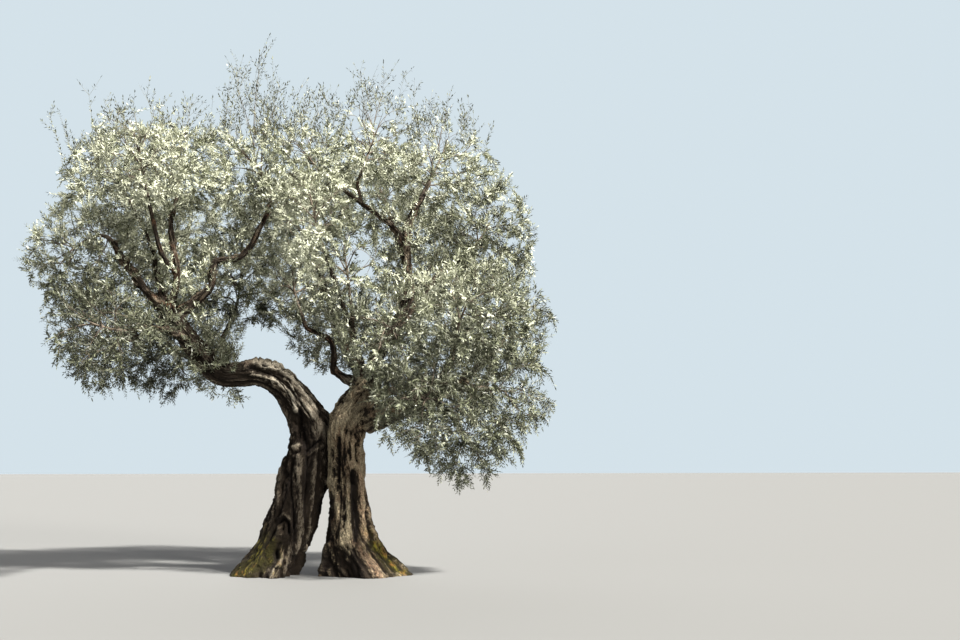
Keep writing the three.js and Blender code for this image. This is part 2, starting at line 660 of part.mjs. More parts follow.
// Adds a solid to the tree as a named mesh with its own material.
function addNode(group, name, solid, colour) {
  const mesh = solid.getMesh();
  const geometry = new THREE.BufferGeometry();
  const count = mesh.vertProperties.length / mesh.numProp;
  const position = new Float32Array(count * 3);
  for (let i = 0; i < count; i++) {
    position.set(mesh.vertProperties.subarray(i * mesh.numProp, i * mesh.numProp + 3), i * 3);
  }
  geometry.setAttribute('position', new THREE.BufferAttribute(position, 3));
  geometry.setIndex(new THREE.BufferAttribute(new Uint32Array(mesh.triVerts), 1));
  const flat = geometry.toNonIndexed();
  flat.computeVertexNormals();
  const material = new THREE.MeshStandardMaterial({ color: colour, roughness: 0.9 });
  material.name = name;
  const node = new THREE.Mesh(flat, material);
  node.name = name;
  group.add(node);
}

// Every limb, each one cut clear of the limbs made before it.
function buildLimbs(group) {
  const ground = aboveGround();
  const whole = (extra) => {
    const split = extra === 0;
    return {
      stem_right: stemPart(rightLine, 0, 1, rightRoots, 1.3, extra, [false, false]),
      stem_left: stemPart(leftLine, 0, ARCH_START, leftRoots, 0.4, extra, [false, split]),
      left_arch: stemPart(leftLine, ARCH_START, RISE_START, leftRoots, 0.4, extra, [split, split]),
      left_rise: stemPart(leftLine, RISE_START, 1, leftRoots, 0.4, extra, [split, false]),
    };
  };
  const solids = whole(0);
  const grown = whole(SOCKET_GAP * 1.4);
  solids.stem_right = solids.stem_right.intersect(ground);
  solids.stem_left = solids.stem_left.intersect(ground).subtract(grown.stem_right);
  const shades = ['#6b5a4a', '#5f5043', '#75634f', '#67574a'];
  const done = ['stem_right', 'stem_left', 'left_arch', 'left_rise'];
  for (const [name, rows] of Object.entries(lines)) {
    if (done.includes(name)) continue;
    const stations = stationsOf(rows, 0, 1, BOUGH_STEP, false);
    let solid = tubeSolid(stations, BOUGH_SIDES, 0);
    for (const earlier of done) {
      if (solid.intersect(grown[earlier]).volume() > 0) solid = solid.subtract(grown[earlier]);
    }
    solids[name] = largestBody(solid);
    grown[name] = tubeSolid(stations, BOUGH_SIDES, SOCKET_GAP);
    done.push(name);
  }
  done.forEach((name, i) => addNode(group, name, largestBody(solids[name]), shades[i % 4]));
}

// Every mass of foliage.
function buildFoliage(group) {
  const shades = ['#7d8b62', '#8a9672', '#6f7e58', '#939f80', '#7a8868'];
  for (const mass of masses) addNode(group, mass.name, massSolid(mass), shades[mass.number % 5]);
}

const tree = new THREE.Group();
tree.name = 'olive_tree';
buildLimbs(tree);
buildFoliage(tree);

export default tree;
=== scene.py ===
"""An old olive tree on two leaning stems: its bark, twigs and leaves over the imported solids.

Sizes are millimetres while the tree grows, and metres in every mesh. +Z is up, and the origin
lies on the flat cut under the left stem.
"""
import math

import bpy
import numpy as np
from mathutils import Euler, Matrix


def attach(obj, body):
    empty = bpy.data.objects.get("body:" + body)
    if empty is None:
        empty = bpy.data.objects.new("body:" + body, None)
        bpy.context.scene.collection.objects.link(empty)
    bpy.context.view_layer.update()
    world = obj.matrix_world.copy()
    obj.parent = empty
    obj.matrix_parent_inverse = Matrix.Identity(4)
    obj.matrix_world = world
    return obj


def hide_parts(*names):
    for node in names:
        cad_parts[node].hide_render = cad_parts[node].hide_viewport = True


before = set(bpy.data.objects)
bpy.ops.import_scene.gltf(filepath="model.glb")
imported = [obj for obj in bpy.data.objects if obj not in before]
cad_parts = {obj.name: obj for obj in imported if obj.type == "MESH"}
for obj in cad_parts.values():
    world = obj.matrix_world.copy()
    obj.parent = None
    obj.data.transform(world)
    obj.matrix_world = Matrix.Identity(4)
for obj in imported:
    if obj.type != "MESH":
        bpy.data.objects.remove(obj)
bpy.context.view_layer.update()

# Turns in radians, rounded as the solids' rule rounds them.
FULL_TURN = 6.283
QUARTER_TURN = 1.571
GOLDEN_ANGLE = 2.399963
UP = np.array([0.0, 0.0, 1.0])

# Driving sizes of the growth, the same as the solids were grown with.
GAP = 0.3  # between a bough's tip and the stem of its mass
MASS_STEM_TIP_RADIUS = 9
TWIG_ROOT_RADIUS = 12  # of a mass's branches
BRANCH_TIP_RADIUS = 4.5
TOP_SHOOT_RADII = (9, 3)  # root and tip of an upright shoot
SHOOT_LEAF_LENGTH = 320  # from the tip of an upright shoot's twig to the top of its leaves
BRANCHES = 8  # tried in each mass
BRANCH_REACH = 0.5  # where a branch ends, as a share of the room round its mass's middle
REACH_OVER = 1.1  # how far a mass may fill its space, as a share of its reach
CELL_MARGIN = 8  # kept from the planes between masses
LEAST_ROOM = 80  # room for a branch or twig is made shorter by steps, to about this
ROOM_STEP = 30
TWIG_CLEARANCE = 25  # kept from the limbs
BALL_STEP = 60  # from one of the balls that stand for a limb to the next
STEM_BALL = 1.12  # radius of a stem's balls, as a share of its own
FLARE_HEIGHT = 300  # over which the buttress roots fade
FLUTE_DEPTH = 0.07  # of a stem's radius
LEVEL_HEIGHT = 900  # over which a stem's rings turn from level to square on its line

# Driving sizes of the finer growth.
TWIGS = 46  # side twigs grown in one mass, off its stem and branches
TWIG_RADIUS = 7  # of a side twig at its root, at most
SHOOT_GRID = 141  # spacing of the leafy shoots that fill a mass
SHOOT_LENGTH = (170, 430)  # least and greatest length of a leafy shoot
SHOOT_RADIUS = 2.6  # of a shoot at its root, at most
SHOOT_TIP_RADIUS = 1.1
SHOOT_CLEARANCE = 55  # from a limb to any place that a leafy shoot grows towards
TIP_CLEARANCE = 30  # from a limb to the tip of a leafy shoot
DROOP_HEIGHTS = (3300, 2300)  # shoots rise above the first height and hang below the second
SIDE_SHOOT_LENGTH = (80, 220)
SPROUT_LENGTH = 130  # of the shortest shoot straight off a limb
MOST_REACH = 1.36  # how far leafy shoots are tried, as a share of their mass's reach
LOOSE_TOP = (5650, 6250)  # heights between which the crown's top thins out
FRINGE_LEVEL = 5750  # masses that reach higher carry a fringe of loose shoots
WISPS = (12, 7)  # loose shoots over such a mass, and more for each of its upright shoots
WISP_HEIGHT = 260  # of the shortest loose shoot over a mass's middle
TOP_SHOOT_RISE = 240  # how far an upright shoot runs on past its twig's tip
TOP_SIDE_SHOOTS = 9  # off an upright shoot
TOP_SIDE_LENGTH = (110, 300)
# Shares whose multiples, less their whole part, spread evenly over a cube.
EVEN_STEPS = np.array([0.8191725134, 0.6710436067, 0.5497004779])

# Driving sizes of the leaves.
PAIR_SPACING = 17.5  # from one pair of leaves to the next along a shoot
LEAF_LENGTH = 70
LEAF_WIDTH = 17
LEAF_CURL = 9
LEAF_TOP = (5800, 6350)  # heights between which leaves grow fewer, to half of them
PAINTED_SUN_HEIGHTS = (2000, 5400)  # heights between which the leaves get lighter tints, as painted sunlight
LIGHT_PATCH = 420  # about how wide patches of lighter and darker leaves are
# Parts of the crown whose leaves are lighter (more than 0) or darker than elsewhere, as painted
# sunlight
# and shade: the part's middle in x and z, its reach, and the change.
SUN_AND_SHADE_PARTS = [
    (-2500, 3200, 850, -0.45), (-1600, 3050, 450, -0.2), (-1400, 4250, 620, 0.32),
    (180, 4250, 520, 0.6), (1030, 4300, 500, -0.55), (1880, 3650, 560, 0.42),
    (950, 3150, 380, 0.25), (2900, 4600, 650, -0.45),
]

# The tints of the leaves, darkest first: the face's colour, the back's, the share of the leaves
# that have it, and the rows of points in such a leaf.
TINTS = [
    ("leaves_deep_green", (0.014, 0.017, 0.006), (0.05, 0.055, 0.03), 0.27, 3),
    ("leaves_grey_green", (0.055, 0.063, 0.031), (0.15, 0.16, 0.1), 0.23, 3),
    ("leaves_olive_green", (0.15, 0.163, 0.095), (0.29, 0.305, 0.215), 0.19, 3),
    ("leaves_silver_green", (0.365, 0.378, 0.29), (0.46, 0.475, 0.37), 0.165, 4),
    ("leaves_young_green", (0.455, 0.472, 0.355), (0.56, 0.58, 0.45), 0.145, 4),
]

# Colours that are the same on all bark, and the rib of every leaf.
# Bleached bark, which the arch's marks also use as painted sunlight.
BLEACHED_AND_PAINTED_SUN = (0.7, 0.64, 0.52, 1)
RUSTY_MOSS = (0.3, 0.14, 0.03, 1)
SHADED_MOSS = (0.022, 0.019, 0.003, 1)
# The near-black of painted shade in grooves, hollows and shaded places.
PAINTED_HOLLOW_SHADE = (0.012, 0.008, 0.006, 1)
LEAF_RIB = (0.42, 0.44, 0.32)

# Colours round the tree: the floor, the light from all round, and the backdrop.
FLOOR_COLOUR = (0.14, 0.142, 0.14)
SKY_TINT = (0.97, 0.98, 1.0)
BACKDROP_COLOUR = (0.66, 0.76, 0.82)

# Points round the skin of a stem or bough, and from one ring of them to the next.
STEM_SIDES = 168
STEM_STEP = 11
BOUGH_SIDES = 28
BOUGH_STEP = 17

# The two stems: each row is x, y, z and radius on the stem's middle line.
LEFT_LINE = [
    [-190, 60, -220, 400], [-150, 60, 0, 375], [10, 70, 340, 340], [145, 90, 700, 345],
    [245, 110, 1080, 340], [310, 130, 1400, 335], [375, 150, 1720, 315], [355, 160, 1980, 290],
    [205, 160, 2260, 235], [-26, 150, 2525, 200], [-300, 125, 2660, 180], [-590, 100, 2645, 172],
    [-850, 70, 2665, 165], [-1100, 30, 2930, 155], [-1360, 5, 3245, 148], [-1585, 0, 3500, 138],
]
RIGHT_LINE = [
    [1120, -90, -220, 410], [1080, -95, 0, 390], [935, -110, 420, 340], [873, -120, 1040, 268],
    [838, -120, 1500, 236], [848, -120, 1950, 252], [975, -115, 2270, 238],
    [1105, -110, 2490, 180], [1195, -110, 2650, 125],
]
ARCH_START = 0.6
RISE_START = 0.8

# Buttress roots: compass bearing in degrees (0 is +X), reach beyond the stem, half width.
LEFT_ROOTS = [(186, 165, 22), (235, 90, 18), (284, 150, 20), (350, 90, 20), (48, 130, 20),
              (118, 160, 24)]
RIGHT_ROOTS = [(352, 330, 19), (312, 130, 18), (272, 200, 20), (228, 90, 18), (190, 215, 20),
               (130, 170, 22), (65, 200, 22)]

# Boughs: the limb each grows from, how far along it, its first and last radius, and its way.
BOUGHS = {
    "bough_right_high": ("stem_right", 0.93, (92, 48), [
        [1290, -150, 2960], [1480, -200, 3200], [1650, -240, 3700], [1612, -250, 4290],
        [1640, -230, 4700], [1820, -160, 5080]]),
    "bough_right_low": ("stem_right", 0.72, (232, 72), [
        [1230, -160, 2090], [1530, -230, 2200], [1795, -310, 2330], [2201, -450, 2490],
        [2420, -560, 2470]]),
    "bough_left_outer": ("left_rise", 0.97, (78, 40), [
        [-1860, -40, 3780], [-2080, -70, 4080], [-2270, -110, 4370]]),
    "bough_left_middle": ("left_rise", 0.9, (48, 30), [
        [-1425, -100, 3946], [-1480, -110, 4300], [-1523, -110, 4620], [-1480, -120, 4850]]),
    "bough_left_inner": ("left_rise", 0.84, (74, 28), [
        [-1190, -30, 3600], [-985, -50, 3810], [-930, -50, 4150], [-570, 0, 4260],
        [-290, 90, 4800], [-235, 120, 4990]]),
    "bough_left_upper": ("left_rise", 0.985, (38, 22), [
        [-1700, 70, 3950], [-1760, 110, 4280], [-1990, 190, 4780]]),
    "bough_left_back": ("left_rise", 0.93, (70, 36), [
        [-1650, 420, 3800], [-1780, 800, 4150], [-1850, 1120, 4360]]),
    "bough_left_front": ("bough_left_middle", 0.25, (34, 22), [
        [-1600, -480, 4200], [-1700, -800, 4620], [-1740, -950, 4830]]),
    "bough_left_low": ("left_rise", 0.62, (62, 32), [[-1700, 190, 3250], [-2010, 340, 3130]]),
    "bough_left_low_front": ("left_rise", 0.5, (52, 28), [
        [-1560, -420, 3200], [-1900, -760, 3130]]),
    "bough_arch_back": ("left_arch", 0.62, (78, 38), [[-900, 480, 2830], [-1290, 850, 2930]]),
    "bough_inner_back": ("bough_arch_back", 0.35, (48, 28), [
        [-850, 560, 3130], [-730, 780, 3490]]),
    "bough_centre_up": ("stem_right", 0.86, (62, 24), [
        [690, -190, 2680], [662, -170, 2897], [592, -130, 3120], [310, -60, 3270],
        [240, 60, 3440]]),
    "bough_centre_front": ("stem_right", 0.9, (52, 26), [[930, -420, 3000], [860, -610, 3480]]),
    "bough_upper_front": ("bough_centre_front", 0.5, (34, 22), [
        [680, -640, 3720], [480, -850, 4220]]),
    "bough_centre_back": ("stem_right", 0.88, (86, 38), [
        [850, 380, 3050], [640, 820, 3720], [430, 1120, 4380]]),
    "bough_low_centre_back": ("bough_centre_back", 0.3, (48, 30), [
        [780, 800, 3150], [740, 1080, 3250]]),
    "bough_high_left": ("bough_right_high", 0.72, (42, 24), [
        [1430, -230, 4660], [1259, -200, 4806], [980, -150, 5010], [690, -100, 5240]]),
    "bough_high_middle": ("bough_high_left", 0.72, (26, 20), [
        [950, -110, 5270], [1010, -90, 5460]]),
    "bough_high_back": ("bough_right_high", 0.62, (52, 28), [
        [1560, 350, 4550], [1480, 1040, 5130]]),
    "bough_right_out": ("bough_right_high", 0.36, (60, 32), [
        [2050, -110, 4010], [2480, 90, 4360]]),
    "bough_right_back": ("stem_right", 0.84, (84, 36), [
        [1330, 450, 3150], [1760, 1020, 3800], [1990, 1400, 4120]]),
    "bough_low_front": ("bough_right_low", 0.35, (60, 32), [
        [1590, -620, 2330], [1690, -870, 2320]]),
    "bough_low_hanging": ("bough_right_low", 0.62, (42, 26), [
        [2060, -420, 2230], [2190, -480, 2090]]),
    "bough_low_rising": ("bough_right_low", 0.7, (58, 30), [
        [2150, -720, 2790], [2180, -880, 3030]]),
    "bough_low_far": ("bough_right_low", 0.88, (56, 32), [
        [2620, -300, 2800], [2880, -200, 3020]]),
    "bough_low_back": ("stem_right", 0.74, (84, 38), [
        [1330, 360, 2420], [1760, 760, 2560], [2050, 980, 2620]]),
    "bough_front": ("bough_right_high", 0.14, (42, 26), [
        [1390, -440, 3040], [1400, -600, 3140]]),
}

# Masses of foliage: the bough each grows from, its middle, its reach, and the heights of the
# long upright shoots that stand out of its top.
MASSES = {
    "foliage_left_outer": ("bough_left_outer", [-2700, -150, 4170], 690, []),
    "foliage_left_upper": ("bough_left_upper", [-2360, 250, 5230], 700, [6270, 6150]),
    "foliage_left_middle": ("bough_left_middle", [-1440, -100, 5380], 680, [6420]),
    "foliage_left_inner": ("bough_left_inner", [-520, 120, 5480], 700, [7200, 6950, 6700]),
    "foliage_left_back": ("bough_left_back", [-1780, 1600, 4800], 760, []),
    "foliage_left_front": ("bough_left_front", [-1820, -1420, 5240], 640, []),
    "foliage_left_low": ("bough_left_low", [-2380, 480, 3090], 670, []),
    "foliage_left_low_front": ("bough_left_low_front", [-2260, -1150, 3110], 620, []),
    "foliage_arch_back": ("bough_arch_back", [-1600, 1400, 3080], 700, []),
    "foliage_inner_back": ("bough_inner_back", [-650, 1050, 4150], 720, []),
    "foliage_centre": ("bough_centre_up", [120, 560, 3960], 600, []),
    "foliage_centre_top": ("bough_high_left", [300, 20, 5560], 700, [6640, 6480]),
    "foliage_centre_back": ("bough_centre_back", [50, 1600, 5060], 760, []),
    "foliage_centre_front": ("bough_centre_front", [760, -850, 4040], 560, []),
    "foliage_upper_front": ("bough_upper_front", [330, -1060, 4680], 600, []),
    "foliage_low_centre_back": ("bough_low_centre_back", [700, 1750, 3480], 680, []),
    "foliage_top": ("bough_high_middle", [1180, -40, 5900], 640, [6920, 6750]),
    "foliage_right_top": ("bough_right_high", [2100, 0, 5620], 700, [6700, 6560]),
    "foliage_right_outer": ("bough_right_out", [2780, 220, 4700], 740, []),
    "foliage_top_back": ("bough_high_back", [1380, 1600, 5580], 720, []),
    "foliage_right_back": ("bough_right_back", [2200, 1650, 4480], 760, []),
    "foliage_front": ("bough_front", [1300, -960, 3130], 680, []),
    "foliage_low_front": ("bough_low_front", [1740, -1300, 2200], 670, []),
    "foliage_low_right": ("bough_right_low", [2800, -780, 2350], 700, []),
    "foliage_low_hanging": ("bough_low_hanging", [2340, -480, 1740], 620, []),
    "foliage_low_rising": ("bough_low_rising", [2330, -1250, 3480], 700, []),
    "foliage_right_far": ("bough_low_far", [3020, -60, 3430], 680, []),
    "foliage_low_back": ("bough_low_back", [2470, 1450, 2860], 740, []),
}
MASS_MIDDLES = np.array([mass[1] for mass in MASSES.values()], float)
MASS_REACHES = np.array([mass[2] for mass in MASSES.values()], float)
CROWN_LOW = (MASS_MIDDLES - MASS_REACHES[:, None] * 1.06).min(axis=0)
CROWN_HIGH = (MASS_MIDDLES + MASS_REACHES[:, None] * 1.06).max(axis=0)

# Limbs with leafy shoots of their own: between which shares of their length, a shoot every so
# many millimetres, and the longest of them.
SPROUTED = {
    "left_arch": (0.62, 1, 10, 300), "left_rise": (0, 1, 8, 430), "stem_right": (0.9, 1, 5, 480),
    "bough_left_outer": (0.1, 1, 14, 420), "bough_left_middle": (0.1, 0.9, 22, 380),
    "bough_left_upper": (0.1, 0.9, 22, 380), "bough_left_inner": (0.08, 0.9, 26, 380),
    "bough_left_back": (0.2, 1, 22, 420), "bough_left_low": (0.3, 1, 20, 400),
    "bough_left_low_front": (0.3, 1, 20, 400), "bough_right_low": (0.3, 0.8, 18, 420),
    "bough_right_high": (0.12, 0.9, 20, 420), "bough_centre_up": (0.35, 1, 30, 300),
    "bough_high_left": (0.1, 1, 26, 320), "bough_front": (0.3, 1, 12, 450),
    "bough_centre_front": (0.35, 1, 18, 420), "bough_centre_back": (0.3, 1, 26, 420),
    "bough_arch_back": (0.3, 1, 24, 380), "bough_inner_back": (0.3, 1, 24, 380),
    "bough_right_out": (0.2, 1, 24, 400), "bough_right_back": (0.3, 1, 26, 400),
    "bough_low_back": (0.3, 1, 26, 400), "bough_low_front": (0.4, 1, 16, 400),
}

# The place the tree is seen from, and how far the camera there looks up and right, in degrees.
SIGHT = np.array([0.0, -16300.0, 1511.0])
LOOK_UP = 6.6544
LOOK_RIGHT = 9.3

# Limbs that show through the leaves from there, and between which shares of their length. Shoots
# in front of them, or in front of the margin round their outline, may be left out.
SIGHT_MARGIN = 45
SHOWN = {
    "left_rise": (0.4, 1), "bough_left_outer": (0, 1), "bough_left_middle": (0, 0.95),
    "bough_left_inner": (0, 1), "bough_left_upper": (0.1, 0.8), "bough_centre_up": (0, 1),
    "bough_right_high": (0.42, 0.95), "bough_high_left": (0, 1), "bough_high_middle": (0, 1),
}

# The way to the sun, and the places on the arch that it shines on. Shoots nearer than the gap to
# its way there may be left out.
SUNWARD = np.array([0.465, -0.481, 0.743])
SUN_GAP = 170
OPEN_SHARE = 0.6  # how many of the shoots in the way of the sight or the sun are left out
SUNLIT = np.array([(-430, -150, 2780), (-200, -190, 2730), (0, -200, 2600), (200, -200, 2400),
                   (360, -200, 2200), (460, -200, 2000)], float)

# Marks on the front of the stems, as seen along +Y: a line of x, z places, its half width and
# how far it stands out (or lies in), all in millimetres, and the finish it brings. The dark
# finish is painted shade in the grooves, cracks, hollows and fork and under and beside the limbs;
# the pale finish is partly the bark's own paler strands and partly painted sunlight, most of all
# on the arch.
STEM_MARKS = [
    # The left stem, from its arch down to its roots.
    # Painted sunlight on the arch: its pale and bleached marks stand for the sun's patches on its
    # front, over the bark's own paler strands.
    ("arch face", [(-330, 2660), (-90, 2620), (120, 2430), (270, 2170)], 120, 0, {"pale": 1.35}),
    ("arch crest", [(-390, 2800), (-70, 2770), (230, 2480), (470, 2150)], 50, 16,
     {"red": 0.6, "pale": 1.45}),
    ("arch groove", [(-374, 2735), (-106, 2625), (118, 2430), (297, 2176), (400, 2020)],
     13, -40, {"dark": 0.8}),
    ("arch strand", [(-130, 2570), (-38, 2530), (96, 2396), (190, 2150)], 56, 30, {"pale": 1.9}),
    ("start of the arch strand", [(-420, 2650), (-270, 2620), (-140, 2575)], 38, 26,
     {"pale": 1.35}),
    ("thin arch strand", [(60, 2560), (150, 2420), (215, 2260)], 18, 14, {"pale": 1.8}),
    ("lower arch groove", [(-60, 2560), (50, 2420), (120, 2240)], 9, -26, {"dark": 0.45}),
    ("arch knot", [(-500, 2790), (-380, 2800)], 60, 34, {"red": 0.6}),
    ("arch knot's hollow", [(-440, 2755), (-400, 2755)], 26, -80, {"dark": 1.0}),
    ("second knot", [(-310, 2820), (-200, 2810)], 44, 38, {"red": 0.7}),
    ("second knot's hollow", [(-280, 2765), (-230, 2760)], 18, -60, {"dark": 1.0}),
    ("third knot", [(-120, 2790), (-50, 2760)], 30, 34, {"pale": 0.4, "red": 0.4}),
    ("fourth knot", [(40, 2700), (110, 2640)], 30, 26, {"pale": 0.4}),
    ("crest strand", [(-330, 2760), (-60, 2710), (180, 2520), (330, 2300)], 20, 26,
     {"pale": 1.7}),
    ("red flank", [(-61, 2287), (51, 2065), (90, 1900)], 60, 8, {"red": 0.9, "pale": 0.6}),
    ("face above the crack", [(400, 1850), (520, 1980)], 95, 6, {"pale": 1.1}),
    ("face beside the crest", [(300, 2260), (420, 2060)], 60, 10, {"pale": 1.35}),
    ("grooves of the face", [(360, 2050), (375, 1800)], 9, -26, {"dark": 0.6}),
    ("more grooves of the face", [(440, 2060), (450, 1790)], 9, -24, {"dark": 0.6}),
    ("fissure", [(215, 2140), (215, 1950), (262, 1776), (300, 1640)], 38, -105, {"dark": 1.0}),
    ("second fissure", [(170, 1990), (180, 1800)], 18, -60, {"dark": 0.9}),
    ("slanting crack", [(297, 1615), (387, 1687), (521, 1776)], 20, -60, {"dark": 1.0}),
    ("lip under the crack", [(330, 1560), (430, 1640), (540, 1710)], 24, 16, {"pale": 0.4}),
    ("knob", [(160, 1680), (240, 1725), (300, 1655)], 42, 50, {"pale": 1.1, "red": 0.5}),
    ("under the knob", [(130, 1600), (200, 1620)], 18, -26, {"dark": 0.7}),
    ("pale strand", [(208, 1560), (230, 1220), (256, 887), (275, 554), (208, 300)], 62, 30,
     {"pale": 0.8}),
    ("groove right of it", [(326, 1554), (333, 1220), (322, 887), (335, 554)], 15, -46,
     {"dark": 0.9}),
    ("groove left of it", [(110, 1530), (100, 1300), (110, 1109), (160, 798), (190, 443)],
     20, -50, {"dark": 0.85}),
    ("holes in the strand", [(219, 1450), (219, 1435)], 14, -30, {"dark": 1.0}),
    ("second hole in the strand", [(190, 1095), (190, 1080)], 14, -30, {"dark": 1.0}),
    ("third hole in the strand", [(300, 1010), (300, 995)], 12, -26, {"dark": 1.0}),
    ("side eye", [(20, 1365), (29, 1300)], 24, -55, {"dark": 1.0}),
    ("side strand", [(-20, 1560), (-60, 1180), (-40, 900)], 34, 20, {"pale": 0.25}),
    ("left side furrow", [(60, 1250), (10, 980), (-90, 620), (-230, 380)],
     22, -44, {"dark": 0.8}),
    ("burl", [(-30, 610), (-10, 560)], 80, 34, {"pale": 0.1}),
    ("rim over the hollow", [(-66, 754), (20, 812), (118, 740), (146, 560)],
     26, 26, {"pale": 0.2}),
    ("hollow", [(-40, 715), (29, 760), (98, 690), (112, 560)], 22, -80, {"dark": 1.0}),
    ("right strand", [(432, 1509), (420, 1109), (387, 665), (330, 300)], 34, 20, {"pale": 0.4}),
    ("groove of the right strand", [(499, 1509), (480, 1109), (420, 665)],
     14, -40, {"dark": 0.8}),
    ("foot strand", [(120, 420), (90, 250), (60, 60)], 30, 22, {"pale": 0.45}),
    ("foot groove", [(180, 380), (170, 200), (160, 20)], 16, -40, {"dark": 0.8}),
    ("slant of the foot", [(400, 230), (350, 110), (310, -60)], 95, -170, {"dark": 0.4}),
    ("upper slant of the foot", [(480, 470), (430, 330)], 60, -60, {"dark": 0.3}),
    ("left moss", [(-640, -20), (-430, 90), (-290, 230), (-225, 430), (-150, 250)], 135, 8,
     {"moss": 1.0}),
    ("bare strip in the moss", [(-500, 250), (-540, 60)], 13, 14, {"pale": 1.0}),
    ("dark foot of the moss", [(-60, 200), (-110, 110), (-150, 10)], 24, -34, {"dark": 0.9}),
    ("root knob", [(30, 300), (10, 215), (-80, 135), (-130, 20)], 40, 44,
     {"red": 0.5, "pale": 1.15}),
    ("root knob's hollow", [(-60, 320), (-40, 255)], 34, -80, {"dark": 1.0}),
    # The right stem, from its shoulder down to its roots.
    ("smooth strand", [(640, 1280), (625, 1770), (735, 2100), (1000, 2400), (1260, 2560)],
     105, 22, {"pale": 0.42}),
    ("foot of the smooth strand", [(655, 1250), (690, 1050), (745, 850), (780, 443)], 62, 30,
     {"pale": 0.4}),
    ("broken top", [(800, 2540), (900, 2600), (1010, 2590)], 70, 34, {"pale": 1.4}),
    ("crack of the broken top", [(850, 2520), (960, 2560)], 12, -40, {"dark": 0.9}),
    ("smooth shoulder", [(820, 2000), (1000, 2180), (1250, 2300)], 165, 48, {"pale": 0.35}),
    ("shade of the shoulder", [(830, 2080), (990, 2250), (1240, 2400)], 150, 0, {"dark": 0.45}),
    ("crease of the shoulder", [(800, 1900), (930, 2110), (1180, 2270)], 13, -24, {"dark": 0.45}),
    ("upper crease", [(840, 2270), (1000, 2390), (1150, 2450)], 12, -26, {"dark": 0.6}),
    # Painted shade in the fork and under the low bough.
    ("dark of the fork", [(1060, 1890), (1150, 1960), (1330, 2000)], 50, -10, {"dark": 0.5}),
    ("shade under the low bough", [(1290, 1985), (1560, 2030), (1850, 2180)], 120, -6,
     {"dark": 0.75}),
    ("ridge under the fork", [(1110, 1960), (1040, 1800), (1020, 1600)], 30, 30, {"pale": 0.5}),
    ("long slit", [(734, 1800), (728, 1560), (734, 1230)], 20, -75, {"dark": 1.0}),
    ("short slit", [(650, 1640), (655, 1540)], 12, -40, {"dark": 0.9}),
    ("another short slit", [(676, 1400), (680, 1290)], 11, -40, {"dark": 0.9}),
    ("red bark", [(850, 1800), (930, 1600), (950, 1420)], 120, 30,
     {"red": 0.8, "pale": 0.7}),
    ("first crack of the red bark", [(800, 1740), (815, 1450)], 11, -36, {"dark": 0.9}),
    ("second crack of the red bark", [(870, 1750), (885, 1520)], 12, -40, {"dark": 0.9}),
    ("third crack of the red bark", [(950, 1720), (965, 1500)], 13, -44, {"dark": 0.9}),
    ("upper hole", [(924, 1350), (940, 1230)], 34, -85, {"dark": 1.0}),
    ("red ridge", [(1036, 1553), (1050, 1200), (1052, 887), (1085, 443)], 40, 30,
     {"red": 0.7, "pale": 0.5}),
    ("groove of the red ridge", [(935, 1200), (950, 887), (985, 640), (960, 470)], 34, -70,
     {"dark": 1.0}),
    ("middle strand", [(860, 1200), (865, 900), (870, 600), (885, 300)], 44, 26, {"pale": 0.35}),
    ("left groove", [(765, 1100), (760, 800), (730, 500)], 14, -40, {"dark": 0.8}),
    # Painted shade down the side of the right stem that faces the gap between the stems, and on
    # its toe.
    ("left side", [(620, 980), (590, 554), (540, 60)], 88, -14, {"dark": 1.0}),
    ("left toe", [(600, 420), (530, 210), (460, 0)], 45, 62, {"dark": 0.6}),
    ("small hole", [(800, 760), (800, 740)], 20, -45, {"dark": 1.0}),
    ("edge strand", [(1137, 887), (1200, 600), (1290, 400)], 30, 24, {"pale": 0.45, "red": 0.3}),
    ("groove of the edge", [(1100, 900), (1140, 640), (1190, 420)], 15, -50, {"dark": 0.95}),
    ("pale root", [(960, 460), (1103, 265), (1240, 70), (1300, -60)], 58, 34,
     {"dark": 0.64, "red": 0.5}),
    ("groove above the root", [(1060, 480), (1200, 290), (1370, 60)], 17, -52, {"dark": 1.0}),
    ("dark inner foot", [(900, 330), (980, 150), (1040, 0)], 70, -30, {"dark": 0.8}),
    ("right moss", [(1150, 480), (1372, 240), (1620, 30)], 92, 10, {"moss": 1.0}),
    ("groove in the moss", [(1270, 310), (1400, 160), (1500, 30)], 14, -40, {"dark": 0.95}),
    ("outer groove in the moss", [(1430, 250), (1590, 80)], 10, -26, {"dark": 0.7}),
]


def seeded(seed):
    """The small generator of numbers from 0 to 1 that the solids were grown with."""
    state = seed & 0xFFFFFFFF
    while True:
        state = (state * 1664525 + 1013904223) & 0xFFFFFFFF
        mixed = ((state ^ (state >> 15)) * 2246822519) & 0xFFFFFFFF
        yield ((mixed ^ (mixed >> 13)) & 0xFFFFFFFF) / 2**32


def unit(v):
    """Vectors scaled to length 1."""
    return v / np.maximum(np.linalg.norm(v, axis=-1, keepdims=True), 1e-9)


def dot(a, b):
    return np.sum(a * b, axis=-1, keepdims=True)


def smooth_step(x, low, high):
    share = np.clip((x - low) / (high - low), 0, 1)
    return share * share * (3 - 2 * share)


def soft_noise(points, seed):
    """Smooth noise of about -0.7 to 0.7 at points of an (n, 3) array."""
    cell = np.floor(points).astype(np.int64)
    f = points - cell
    fade = f * f * f * (f * (f * 6 - 15) + 10)
    total = np.zeros(len(points))
    for corner in np.ndindex(2, 2, 2):
        corner = np.array(corner)
        x, y, z = (cell + corner).T
        mix = (x * 73856093) ^ (y * 19349663) ^ (z * 83492791) ^ (seed * 2654435761)
        mix = ((mix & 0xFFFFFFFF) * 1274126177) & 0xFFFFFFFF
        mix = ((mix ^ (mix >> 15)) * 2246822519) & 0xFFFFFFFF
        slope = np.stack([(mix >> shift) & 255 for shift in (0, 8, 16)], -1) / 127.5 - 1
        weight = np.prod(np.where(corner == 1, fade, 1 - fade), axis=1)
        total += weight * np.sum(slope * (f - corner), axis=1)
    return total


